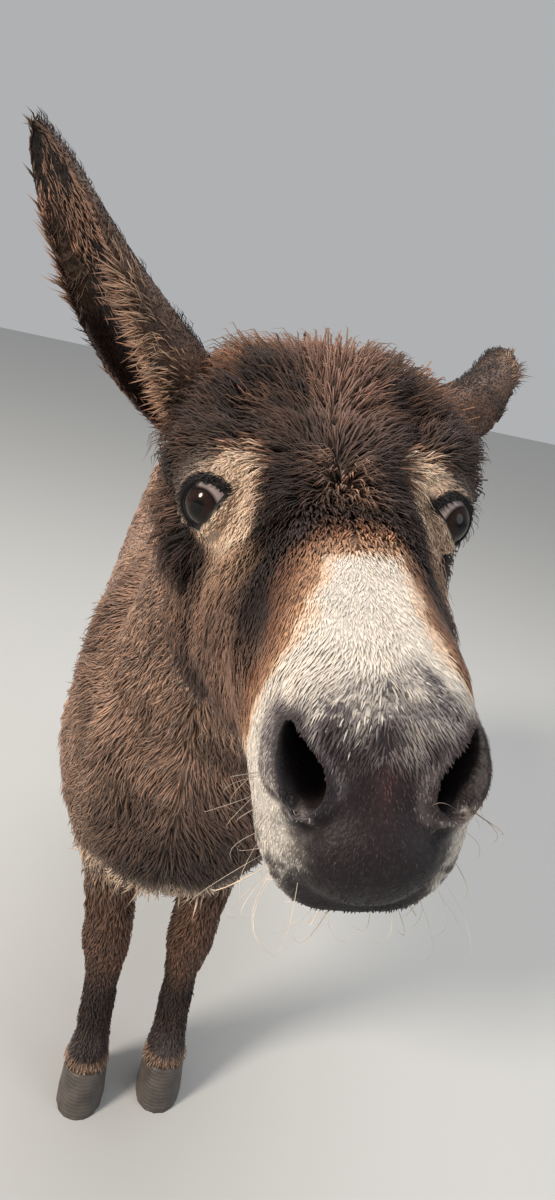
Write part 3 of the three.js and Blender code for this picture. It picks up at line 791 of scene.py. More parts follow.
def face_colour(held):
    """The head's colours, laid one over another from the brown of the cheeks to the lids. Painted shade
    lies under the jaw, behind the eyes, along the upper lids' rims and inside the nostrils.
    """
    side = mirrored(held)
    broad, fine = ripple(held, 0.050, 5), ripple(held, 0.014, 6)
    speck = ripple(held, 0.0042, 7)
    edge_wave = 0.0040 * fine + 0.0022 * speck
    y, z = held[:, 1], held[:, 2]
    colour = np.tile(BROWN, (len(held), 1))
    colour = painted(colour, WARM_BROWN, 0.5 + 0.6 * broad)
    colour = painted(colour, DARK_BROWN, 0.20 - 0.6 * fine)

    # Painted shade: under the jaw and behind the cheek, towards the throat, the colour is painted darker.
    jaw = step(-0.150, -0.205, z + 0.25 * (y - 0.06)) + step(0.10, 0.16, y) * step(-0.06, -0.10, z)
    colour = painted(colour, DARK_BROWN, 0.75 * jaw)
    brow = step(-0.080, -0.045, z) * step(-0.20, -0.11, y)
    colour = painted(colour, BLACK_BROWN, 0.92 * brow)
    centre = step(0.040, 0.008, np.abs(held[:, 0] - 0.012) - 0.016 * step(0.05, 0.16, y))
    colour = painted(colour, SLATE, 0.75 * brow * centre * (0.8 + 0.4 * fine) * step(-0.085, -0.04, y))
    below_whorl = step(0.034, 0.008, side[:, 0]) * step(-0.085, -0.060, y) * step(0.0, -0.030, y)
    colour = painted(colour, WHORL_BROWN, 0.85 * below_whorl * (0.8 + 0.5 * fine))
    poll = step(-0.005, 0.070, y) * step(-0.10, -0.03, z)
    colour = painted(colour, POLL_BROWN, poll * centre * (0.85 + 0.3 * fine))
    colour = painted(colour, BLACK_BROWN, 0.35 * poll * (1 - centre))
    colour = painted(colour, RUFOUS, poll * (1 - centre) * (0.10 + 0.3 * fine))
    colour = painted(colour, DARK_BROWN, 0.6 * poll * step(0.070, 0.100, held[:, 0]))
    fringe = step(0.088, 0.112, y) * step(0.055, 0.082, side[:, 0]) + 0.6 * step(0.125, 0.155, y)
    colour = painted(colour, FRINGE_BROWN, 0.85 * poll * fringe * (0.8 + 0.4 * fine))
    bridge_side = along(side, (0.040, -0.030, -0.010), (0.054, -0.150, -0.040), 0.024)
    colour = painted(colour, BLACK_BROWN, 0.85 * bridge_side)

    round_nose = NOSE_ROUND * np.arctan2(held[:, 0], z - NOSE_MIDDLE_Z)
    edge = from_outline(np.column_stack((round_nose, y)), PALE_NOSE) + edge_wave
    top = step(0.030, 0.015, np.abs(round_nose))
    right = step(0.0, -0.02, held[:, 0])
    band = mix(mix(0.011, 0.020, right), 0.026, top)
    warm = step(band, 0.35 * band, edge)
    singed = step(1.8 * band, 0.7 * band, edge + 0.005 * speck)
    colour = painted(colour, RUFOUS, (0.75 + 0.6 * speck) * singed)
    colour = painted(colour, ORANGE, warm * (0.6 + 0.7 * speck))
    colour = painted(colour, CREAM, step(0.0045, 0.001, edge))
    colour = painted(colour, WHITE, step(0.001, -0.007, edge))
    colour = painted(colour, ROAN_GREY, 0.4 * step(0.60, 0.85, speck) * step(-0.002, -0.02, edge))

    single = ripple(held, 0.0012, 17)
    start = -0.232 + 0.017 * np.exp(-(((held[:, 0] - 0.018) / 0.013) ** 2))
    front = step(0.004, -0.012, y - start + 0.8 * edge_wave)
    front *= step(0.047, 0.036, side[:, 0]) * step(-0.100, -0.070, z)
    deeper = step(-0.236, -0.262, y)
    grey = mix(MOTTLE_GREY, DEEP_MOTTLE, deeper[:, None])
    colour = painted(colour, grey, front * (0.9 + 0.5 * fine))
    colour = painted(colour, BARE_SKIN, 0.85 * front * deeper * (0.55 + 0.8 * fine))
    leaning = 0.42 * step(0.0, 0.018, held[:, 0]) - 0.20 * step(0.0, -0.010, held[:, 0])
    pale_hair = step(-0.20, 0.10, single - 0.80 * deeper - 0.35 * fine - leaning)
    colour = painted(colour, WHITE, 0.80 * front * pale_hair)
    dark = from_outline(held[:, [0, 2]], DARK_END) + 1.3 * edge_wave
    dark = step(0.008, -0.008, dark) * step(-0.225, -0.245, y)
    colour = painted(colour, BARE_SKIN, dark)
    colour = painted(colour, LIP_SKIN, dark * step(-0.075, -0.10, z))
    between_nostrils = mound(held, (0.002, -0.262, -0.056), (0.006, 0.02, 0.012))
    colour = painted(colour, NOSE_PINK, 0.5 * between_nostrils)
    colour = painted(colour, LIP_SPECK, 0.35 * dark * step(0.35, 0.50, single))
    lower = step(0.016, -0.014, z + 0.108) * step(-0.19, -0.21, y)
    colour = painted(colour, ROAN_GREY, 0.75 * lower * (1 - dark) * (0.5 + 0.8 * speck))
    colour = painted(colour, BARE_SKIN, 0.75 * lower * (1 - dark) * step(0.10, 0.40, speck + 0.4 * single))
    chin = step(-0.118, -0.130, z) * step(0.042, 0.026, side[:, 0]) * step(-0.20, -0.23, y)
    colour = painted(colour, LIP_SKIN, 0.85 * chin)
    nostril, across, _ = nostril_place(side)
    close = step(0.05, 0.03, np.linalg.norm(side - NOSTRIL, axis=1))
    wing = close * step(0.0, 0.004, across) * step(-0.076, -0.068, z - 0.5 * (side[:, 0] - 0.045))
    wing = wing * step(-0.026, -0.036, z)
    wing *= step(0.024, 0.012, nostril + edge_wave)
    colour = painted(colour, WING_GREY, wing * (0.85 + 0.3 * fine))
    colour = painted(colour, WHITE, 0.6 * wing * step(-0.1, 0.3, single))
    crease = along(side, (0.060, -0.226, -0.064), (0.050, -0.266, -0.068), 0.0030)
    crease = np.maximum(crease, along(side, (0.050, -0.266, -0.068), (0.032, -0.272, -0.084), 0.0034))
    colour = painted(colour, BARE_SKIN, 0.8 * crease)
    colour = painted(colour, ROAN_GREY, 0.8 * close * step(0.010, 0.004, nostril + edge_wave))
    colour = painted(colour, BARE_SKIN, 0.9 * close * step(0.007, 0.001, nostril + 0.5 * edge_wave))
    # Painted shade: the nostril's inside is painted near black over its dark skin, and its outer wall is
    # painted less dark, as if lit where light reaches in.
    colour = painted(colour, NOSTRIL_SKIN_AND_SHADE, close * step(0.0005, -0.0030, nostril))
    outer_wall = step(0.002, 0.010, across)
    colour = painted(colour, NOSTRIL_LIT_WALL, 0.6 * close * step(0.0, -0.003, nostril) * outer_wall)

    away = side - EYE_IN_HEAD
    flat = np.column_stack((away @ LID_ACROSS, away @ LID_UP))
    facing = step(-0.045, -0.020, away @ LID_AXIS) * step(0.110, 0.085, np.linalg.norm(away, axis=1))
    patch = from_outline(flat, PALE_EYE) + 0.5 * edge_wave
    below = step(-0.010, -0.045, flat[:, 1])
    outwards = step(0.030, 0.008, flat[:, 0])
    colour = painted(colour, FAWN, facing * below * step(0.050, 0.004, patch) * 0.8 * outwards)
    upper_edge = 0.6 * facing * step(0.006, 0.001, patch)
    colour = painted(colour, RUFOUS, upper_edge * step(0.015, 0.035, flat[:, 0]))
    ring = facing * step(mix(0.002, 0.008, below), -0.005, patch)
    colour = painted(colour, CREAM, ring * mix(1.0, 0.8 + 0.3 * fine, below))
    on_plane = np.column_stack((flat, flat[:, 0] * 0))
    above = mound(on_plane, (0.004, 0.020, 0), (0.022, 0.012, 1))
    colour = painted(colour, LID_GREY, 0.65 * facing * above)
    colour = painted(colour, CREAM, 0.9 * facing * mound(on_plane, (-0.026, 0.000, 0), (0.005, 0.020, 1)))
    # Painted shadow: the hollow behind and below each eye is painted near black.
    behind = step(-0.105, -0.055, away @ LID_AXIS) * step(0.125, 0.060, np.linalg.norm(away, axis=1))
    tall = step(0.045, 0.005, flat[:, 1]) * step(-0.054, -0.020, flat[:, 1])
    behind *= tall * step(-0.028, -0.038, flat[:, 0])
    colour = painted(colour, BLACK_BROWN, 1.1 * behind * (0.9 + 0.4 * fine))
    near = np.flatnonzero(np.linalg.norm(away, axis=1) < LID_PAINT_REACH)
    lid, angles, _ = from_lid_edge(side[near])
    corner = mound(np.column_stack((angles, angles[:, 0] * 0)), (52.0, -24.0, 0), (26.0, 20.0, 1))
    # The lids' rims are painted black: the bare rim itself, widened on the upper lid by painted shade under
    # the lid and its lashes.
    upper = step(-32.0, -12.0, angles[:, 1])
    rim = step(mix(0.0028, 0.0066, upper) + 0.002 * corner, mix(0.0008, 0.0034, upper) + 0.001 * corner,
        lid + 0.4 * edge_wave[near])
    colour[near] = painted(colour[near], DARK_BROWN, 0.75 * step(0.011, 0.004, lid) * (0.4 * corner + 0.15))
    colour[near] = painted(colour[near], LID_BLACK, rim)
    return colour


def ear_colour(points, places):
    """Rufous brown outside, near black inside between pale fringes, and black at the tip and the rim."""
    t, angle, inner = places.T
    fine = ripple(points, 0.014, 9)
    colour = painted(np.tile(WARM_BROWN, (len(points), 1)), DARK_BROWN, 0.30 - 0.5 * fine)
    colour = painted(colour, RUFOUS, 0.55 * step(0.45, 0.0, t) + 0.2 * fine)
    inside = painted(np.tile(BLACK_BROWN, (len(points), 1)), DARK_BROWN, 0.5 + 0.5 * fine)
    inside = painted(inside, BLACK_BROWN, step(0.75, 0.4, np.abs(angle)))
    inside = painted(inside, FAWN, 0.85 * step(0.45, 0.85, angle) * step(0.62, 0.40, t))
    far_fringe = 0.70 * step(-0.50, -0.85, angle) * step(0.40, 0.55, t)
    inside = painted(inside, FAWN, far_fringe * step(0.82, 0.70, t))
    colour = mix(colour, inside, inner[:, None])
    colour = painted(colour, DARK_BROWN, 0.7 * step(-0.84, -0.97, angle) * step(0.15, 0.4, t))
    return painted(colour, BLACK_BROWN, 0.7 * step(0.82, 0.95, t + 0.05 * fine))


def coat_colour(points, places):
    """The colour at each point of the skin. The last points, as many as places, are the ears'."""
    plain, on_ears = points[: len(points) - len(places)], points[len(points) - len(places) :]
    held = in_head(plain)
    on_head = step(0.04, -0.03, behind_poll(plain) + 0.01 * ripple(plain, 0.03, 8))
    colour = body_colour(plain)
    head = on_head > 0
    colour[head] = mix(colour[head], face_colour(held[head]), on_head[head, None])
    return np.vstack((colour, ear_colour(on_ears, places)))


skin_points = places_of(skin_mesh)
skin_normals = vertex_normals(skin_mesh)
skin_colours = coat_colour(skin_points, ear_places)
UNDER_THE_COAT = 0.55  # how light the skin under dark hair is, against the hair that hides it
UNDER_PALE_HAIR = 0.95


def keep_colour(mesh, colours, name="coat"):
    kept = mesh.attributes.new(name, "FLOAT_COLOR", "POINT")
    filled = np.ones((len(colours), 4), np.float32)
    filled[:, :3] = colours
    kept.data.foreach_set("color", filled.ravel())


paleness = step(0.15, 0.50, skin_colours.mean(axis=1))[:, None]
keep_colour(skin_mesh, skin_colours * mix(UNDER_THE_COAT, UNDER_PALE_HAIR, paleness))


def node(tree, kind, **inputs):
    """A shader node with its sockets set or linked."""
    made = tree.nodes.new(kind)
    for name, value in inputs.items():
        socket = made.inputs[name.replace("_", " ")]
        if isinstance(value, bpy.types.NodeSocket):
            tree.links.new(value, socket)
        else:
            socket.default_value = value
    return made


def held_in(tree, name):
    """The values that a mesh keeps under this name."""
    made = tree.nodes.new("ShaderNodeAttribute")
    made.attribute_name = name
    return made


def mottled(tree, surface, colour, noise, low, high):
    """Colours the surface, darker and lighter by a noise between these two shares."""
    shade = node(tree, "ShaderNodeMapRange", Value=noise, From_Min=0.3, From_Max=0.7, To_Min=low, To_Max=high)
    coloured = node(tree, "ShaderNodeVectorMath", Vector=colour)
    coloured.operation = "SCALE"
    tree.links.new(shade.outputs["Result"], coloured.inputs["Scale"])
    tree.links.new(coloured.outputs["Vector"], surface.inputs["Base Color"])


def added(tree, first, share, second):
    """So much of the first value, added to the second."""
    made = tree.nodes.new("ShaderNodeMath")
    made.operation = "MULTIPLY_ADD"
    tree.links.new(first, made.inputs[0])
    made.inputs[1].default_value = share
    tree.links.new(second, made.inputs[2])
    return made.outputs["Value"]


def roughened(tree, surface, height, strength, distance):
    bump = node(tree, "ShaderNodeBump", Height=height, Strength=strength, Distance=distance)
    tree.links.new(bump.outputs["Normal"], surface.inputs["Normal"])


def skin_finish():
    """Leathery skin: the coat's colour, mottled, with pores and fine creases."""
    made, tree, surface = new_finish("skin", Roughness=0.56, Specular_IOR_Level=0.28)
    spot = tree.nodes.new("ShaderNodeTexCoord").outputs["Object"]
    mottle = node(tree, "ShaderNodeTexNoise", Vector=spot, Scale=260.0, Detail=4.0, Roughness=0.6)
    mottled(tree, surface, held_in(tree, "coat").outputs["Color"], mottle.outputs["Fac"], 0.62, 1.05)
    pores = node(tree, "ShaderNodeTexVoronoi", Vector=spot, Scale=480.0)
    height = added(tree, pores.outputs["Distance"], 0.7, mottle.outputs["Fac"])
    roughened(tree, surface, height, 0.55, 0.0008)
    return made


skin_mesh.materials.clear()
skin_mesh.materials.append(skin_finish())


def unwrap(piece):
    """Lays the skin's own surface out flat, for the coat's hairs to find their place on."""
    bpy.context.view_layer.objects.active = piece
    piece.select_set(True)
    bpy.ops.object.mode_set(mode="EDIT")
    bpy.ops.mesh.select_all(action="SELECT")
    bpy.ops.uv.smart_project(angle_limit=1.15, island_margin=0.002, scale_to_bounds=True)
    bpy.ops.object.mode_set(mode="OBJECT")
    piece.select_set(False)


unwrap(skin)
skin_mesh.uv_layers.active.name = "OFBake"

# --- Hooves ---------------------------------------------------------------------------------------------
# Small, steep, boxy hooves of dark horn, ringed where they have grown. Each is its solid with the facets
# evened out, and stands flat on the ground.

HOOF_VOXEL = 0.003
SOLE_HEIGHT = 0.0035
HORN_DARK, HORN_LIGHT = tone(48, 42, 40), tone(84, 76, 70)


def horn():
    made, tree, surface = new_finish("hoof", Roughness=0.5)
    spot = tree.nodes.new("ShaderNodeTexCoord").outputs["Object"]
    upright = node(tree, "ShaderNodeMapping", Vector=spot, Scale=(1.0, 1.0, 0.12))
    grain = node(tree, "ShaderNodeTexNoise", Vector=upright.outputs["Vector"], Scale=420.0, Detail=3.0)
    patches = node(tree, "ShaderNodeTexNoise", Vector=spot, Scale=45.0, Detail=3.0)
    rings = node(tree, "ShaderNodeTexWave", Vector=spot, Scale=62.0, Distortion=1.6, Detail=2.0)
    rings.bands_direction = "Z"
    rings.inputs["Detail Scale"].default_value = 3.0
    blend = added(tree, rings.outputs["Fac"], 0.18, patches.outputs["Fac"])
    colours = node(tree, "ShaderNodeValToRGB", Fac=blend)
    for element, position, colour in zip(colours.color_ramp.elements, (0.25, 0.75), (HORN_DARK, HORN_LIGHT)):
        element.position = position
        element.color = (*colour, 1.0)
    tree.links.new(colours.outputs["Color"], surface.inputs["Base Color"])
    roughened(tree, surface, added(tree, grain.outputs["Fac"], 0.5, rings.outputs["Fac"]), 0.5, 0.0005)
    return made


def rounded_hoof(name):
    """A hoof with its facets evened out, and its sole kept flat on the ground."""
    mesh = fused(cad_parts[name].data.copy(), HOOF_VOXEL)
    points = places_of(mesh)
    sole = points[:, 2] < SOLE_HEIGHT
    points = smoothed(points, edges_of(mesh), 45)
    points[sole, 2] = 0.0
    points[:, 2] = np.maximum(points[:, 2], 0.0)
    place(mesh, points)
    shade_smooth(mesh)
    return mesh


horn_finish = horn()
for end in ("front", "hind"):
    for side in ("left", "right"):
        name = f"hoof_{end}_{side}"
        hoof = laid_in(f"{name}_horn", rounded_hoof(name))
        hoof.data.materials.clear()
        hoof.data.materials.append(horn_finish)
        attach(hoof, "root")
        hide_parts(name)

# --- Eyes ---------------------------------------------------------------------------------------------
# A dark brown eyeball in each socket, wet and glossy, with a wide flat pupil. It looks ahead and down,
# so a grey-white sliver of the eyeball shows above it, towards the forehead. The white beyond the
# sliver's ends is painted dark: partly dark pigment and partly painted shadow of the upper lid.

GAZE = np.array((0.600, -0.832, 0.085))
IRIS_REACH = 42.0
PUPIL_WIDE, PUPIL_TALL = 21.0, 12.0
IRIS_BROWN = tone(26, 16, 12)
IRIS_LIGHT = tone(52, 33, 24)
EYE_WHITE = tone(150, 138, 136)
PUPIL_BLACK, IRIS_RIM = tone(7, 6, 8), tone(16, 11, 10)
VEIN_RED, WHITE_EDGE, SCLERA_DARK_AND_LID_SHADOW = tone(150, 96, 84), tone(74, 58, 52), tone(24, 17, 15)


def eyeball(side):
    bm = bmesh.new()
    bmesh.ops.create_uvsphere(bm, u_segments=128, v_segments=96, radius=EYE_RADIUS)
    globe = np.array([vertex.co for vertex in bm.verts]) / EYE_RADIUS
    gaze = GAZE / np.linalg.norm(GAZE)
    level = np.cross(gaze, LID_UP)
    level /= np.linalg.norm(level)
    raised = np.cross(level, gaze)
    turn = np.degrees(np.arccos(np.clip(globe[:, 2], -1, 1)))
    bulge = 0.0011 * step(48.0, 10.0, turn)
    place_in_head = EYE_IN_HEAD + (globe * (EYE_RADIUS + bulge)[:, None]) @ np.array((level, raised, gaze))
    placed = from_head(place_in_head * (side, 1, 1))
    for vertex, spot in zip(bm.verts, placed, strict=True):
        vertex.co = spot
    bmesh.ops.recalc_face_normals(bm, faces=bm.faces)
    mesh = bpy.data.meshes.new("eye")
    keep_in_order(bm, mesh)
    off_axis = np.maximum(np.hypot(globe[:, 0], globe[:, 1]), 1e-9)
    across, up = turn * globe[:, 0] / off_axis, turn * globe[:, 1] / off_axis
    around = np.degrees(np.arctan2(up, across))
    streak = 0.5 + 0.5 * ripple(np.column_stack((around * 0.35, turn * 0.08, around * 0)), 1.0, 11)
    colour = painted(np.tile(IRIS_BROWN, (len(globe), 1)), IRIS_LIGHT, 0.75 * streak * step(14.0, 30.0, turn))
    pupil = np.hypot(across / PUPIL_WIDE, up / PUPIL_TALL)
    colour = painted(colour, PUPIL_BLACK, step(1.15, 0.85, pupil))
    colour = painted(colour, IRIS_RIM, step(IRIS_REACH - 7, IRIS_REACH - 1.0, turn))
    veins = ripple(globe, 0.10, 12) * ripple(globe, 0.04, 13)
    sclera = painted(np.tile(EYE_WHITE, (len(globe), 1)), VEIN_RED, 0.5 * np.abs(veins))
    sclera = painted(sclera, WHITE_EDGE, step(IRIS_REACH + 7, IRIS_REACH, turn))
    # The white is painted dark beyond the sliver's ends: dark pigment, and painted shadow of the upper lid.
    sclera = painted(sclera, SCLERA_DARK_AND_LID_SHADOW, step(38.0, 62.0, around) + step(-24.0, -44.0, around))
    colour = mix(colour, sclera, step(IRIS_REACH - 0.5, IRIS_REACH + 1.5, turn)[:, None])
    keep_colour(mesh, colour, "eye")
    shade_smooth(mesh)
    return mesh


def eye_finish():
    made, tree, surface = new_finish("eye", Roughness=0.12, IOR=1.40, Specular_IOR_Level=0.12,
        Coat_Weight=0.25, Coat_Roughness=0.02)
    tree.links.new(held_in(tree, "eye").outputs["Color"], surface.inputs["Base Color"])
    return made


wet_eye = eye_finish()
for name, side in (("eye_left", 1), ("eye_right", -1)):
    eye = laid_in(f"{name}_ball", eyeball(side))
    eye.data.materials.append(wet_eye)
    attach(eye, "root")
    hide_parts(name)

# --- Lie of the coat ------------------------------------------------------------------------------------
# Hair grows from the skin at a slant and lies one way: out from the whorl between the eyes, down the
# nose, back and down on the cheeks, neck and body, and down the legs.

# Places on the left of the head, in its own frame, and the way that the hair runs there.
HEAD_LIE = np.array((
    (0.000, 0.020, 0.000, 0.15, 1.0, 0.1), (0.000, 0.100, 0.000, 0.10, 1.0, 0.0),
    (0.030, 0.020, -0.005, 0.75, 0.65, 0.0), (0.060, 0.040, 0.000, 0.90, 0.45, -0.2),
    (0.050, 0.100, 0.000, 0.80, 0.60, 0.0), (0.030, 0.150, -0.01, 0.40, 0.9, 0.0),
    (0.085, 0.110, -0.040, 0.60, 0.50, -0.6), (0.022, -0.032, 0.000, 1.0, 0.05, 0.0),
    (0.045, -0.035, -0.015, 0.8, -0.5, -0.2), (0.000, -0.060, 0.000, 0.1, -1.0, 0.0),
    (0.020, -0.100, 0.000, 0.15, -1.0, 0.0), (0.020, -0.170, 0.000, 0.2, -1.0, 0.0),
    (0.045, -0.140, -0.030, 0.1, -0.85, -0.5), (0.022, -0.228, -0.015, 0.8, -0.7, -0.2),
    (0.000, -0.210, -0.010, 0.0, -1.0, -0.1), (0.004, -0.226, -0.012, 0.15, -1.0, -0.2),
    (0.000, -0.240, -0.020, 0.3, -0.9, -0.3), (0.010, -0.262, -0.060, 0.3, -0.2, -1.0),
    (0.055, -0.235, -0.050, 0.2, -0.6, -0.8), (0.055, -0.240, -0.090, 0.0, -0.5, -0.9),
    (0.000, -0.280, -0.110, 0.1, 0.0, -1.0), (0.000, -0.250, -0.160, 0.1, 0.5, -0.5),
    (0.070, -0.060, -0.060, 0.1, -0.6, -0.8), (0.090, 0.000, -0.100, 0.0, -0.1, -1.0),
    (0.090, 0.060, -0.140, 0.0, 0.35, -0.9), (0.070, 0.100, -0.200, 0.0, 0.5, -0.8),
    (0.060, -0.100, -0.120, 0.0, -0.45, -0.9), (0.055, -0.170, -0.100, 0.0, -0.7, -0.7),
    (0.030, 0.050, -0.240, -0.2, 0.7, -0.5), (0.020, -0.100, -0.170, 0.0, 0.3, -0.4),
    (0.075, 0.034, 0.000, 0.8, 0.4, -0.3), (0.100, 0.030, -0.040, 0.3, 0.7, -0.6),
    (0.085, -0.020, -0.070, 0.2, -0.4, -0.9), (0.055, -0.010, -0.020, 0.5, -0.8, -0.3),
    (0.085, 0.146, -0.030, 0.5, 0.6, 0.3), (0.100, 0.120, -0.090, 0.1, 0.7, -0.7),
))
# The same for the left of the neck, body and legs, from the ground up.
BODY_LIE = np.array((
    (0.03, -0.34, 1.12, 0.3, 0.8, -0.5), (0.13, -0.33, 0.95, 0.3, 0.65, -0.7),
    (0.00, -0.36, 0.78, 0.4, 0.1, -1.0), (0.10, -0.26, 0.62, 0.4, 0.2, -0.9),
    (0.17, -0.15, 0.80, 0.1, 0.75, -0.65), (0.02, -0.10, 1.04, 0.4, 0.9, -0.3),
    (0.02, 0.20, 1.00, 0.4, 0.9, -0.1), (0.21, 0.20, 0.78, 0.0, 0.85, -0.5),
    (0.20, 0.30, 0.60, 0.0, 0.8, -0.6), (0.02, 0.20, 0.44, 0.0, 1.0, -0.2),
    (0.02, -0.10, 0.45, 0.1, 0.8, -0.4), (0.05, 0.60, 1.00, 0.5, 0.75, -0.4),
    (0.17, 0.60, 0.75, 0.0, 0.3, -0.95), (0.08, 0.78, 0.80, 0.3, 0.1, -1.0),
    (0.10, -0.12, 0.40, 0.0, 0.1, -1.0), (0.10, -0.10, 0.20, 0.0, 0.05, -1.0),
    (0.10, 0.65, 0.40, 0.0, 0.1, -1.0), (0.10, 0.70, 0.20, 0.0, 0.0, -1.0),
    (0.10, -0.10, 0.05, 0.0, 0.0, -1.0), (0.10, 0.70, 0.05, 0.0, 0.0, -1.0),
    (0.00, 0.80, 0.70, 0.0, 0.3, -1.0),
))


def run_between(points, table, blur):
    """The way that the hair runs, worked out from the nearest rows of a table."""
    ways = table[:, 3:] / np.linalg.norm(table[:, 3:], axis=1)[:, None]
    total = np.zeros((len(points), 3))
    for spot, way in zip(table[:, :3], ways, strict=True):
        away = ((points - spot) ** 2).sum(axis=1)
        total += way / (away + blur**2)[:, None] ** 2
    return total / np.linalg.norm(total, axis=1)[:, None]


def lie_of_coat(points):
    held = in_head(points)
    signs = np.where(held[:, :1] < 0, -1.0, 1.0)
    on_head = run_between(mirrored(held), HEAD_LIE, 0.012) * np.hstack((signs, np.ones((len(held), 2))))
    signs = np.where(points[:, :1] < -0.02, -1.0, 1.0)
    left = np.column_stack((np.abs(points[:, 0] + 0.02), points[:, 1:]))
    on_body = run_between(left, BODY_LIE, 0.05) * np.hstack((signs, np.ones((len(held), 2))))
    share = step(-0.03, 0.05, behind_poll(points))[:, None]
    return mix(on_head @ HEAD_AXES.T, on_body, share)


def ear_fringe(places):
    """Where long hair hangs over an ear's opening from its edges."""
    t, angle, _ = places.T
    inner_edge = step(0.62, 0.90, angle) * step(0.62, 0.40, t)
    return inner_edge + step(-0.70, -0.92, angle) * step(0.35, 0.55, t) * step(0.85, 0.70, t)


def ear_lie(ears):
    """Hair runs up the ear, and at the fringes out over the opening."""
    ways = []
    for ear, places, way in zip(EARS.values(), np.split(ears, 2), np.split(ear_ways, 2), strict=True):
        across = -np.sign(places[:, 1:2]) * (ear_axes(ear)[:, 0] @ HEAD_AXES.T)
        towards_opening = -(ear_axes(ear)[:, 1] @ HEAD_AXES.T)
        fringe = ear_fringe(places)[:, None]
        way = way / np.maximum(np.linalg.norm(way, axis=1), 1e-9)[:, None]
        ways.append(mix(way, 0.5 * way + 0.8 * across + 0.6 * towards_opening, fringe))
    return np.vstack(ways)


skin_ways = np.vstack((lie_of_coat(skin_points[:face_and_body]), ear_lie(ear_places)))

# Each region's hair in metres: length, width of a tuft, room between roots, and its slant in degrees.
HAIR = {
    "trunk": (0.036, 0.0052, 0.0062, 9.0), "rump": (0.034, 0.0050, 0.0063, 9.0),
    "shoulder": (0.032, 0.0023, 0.0034, 9.0), "belly": (0.040, 0.0028, 0.0042, 16.0),
    "forearm": (0.022, 0.0032, 0.0042, 11.0), "cannon": (0.014, 0.0027, 0.0036, 11.0),
    "pastern": (0.011, 0.0022, 0.0030, 16.0), "cheek": (0.021, 0.0018, 0.0025, 13.0),
    "jaw": (0.034, 0.0022, 0.0030, 19.0), "poll": (0.040, 0.0014, 0.0023, 29.0),
    "brow": (0.024, 0.0016, 0.0022, 22.0), "bridge": (0.012, 0.0016, 0.0020, 14.0),
    "nose": (0.0080, 0.0013, 0.0017, 6.0), "muzzle": (0.0036, 0.0010, 0.0019, 9.0),
    "mottle": (0.0075, 0.0010, 0.0019, 8.0), "temple": (0.038, 0.0018, 0.0026, 31.0),
    "dock": (0.030, 0.0030, 0.0042, 6.0), "switch": (0.105, 0.0030, 0.0040, 4.0),
    "eye_ring": (0.0065, 0.0012, 0.0019, 10.0), "ear": (0.013, 0.0020, 0.0031, 14.0),
    "ear_inside": (0.013, 0.0014, 0.0038, 22.0),
}


def on_tail(points):
    behind = step(0.745, 0.755, points[:, 1]) * step(0.94, 0.92, points[:, 2])
    return behind * step(0.042, 0.034, np.abs(points[:, 0] + 0.022))


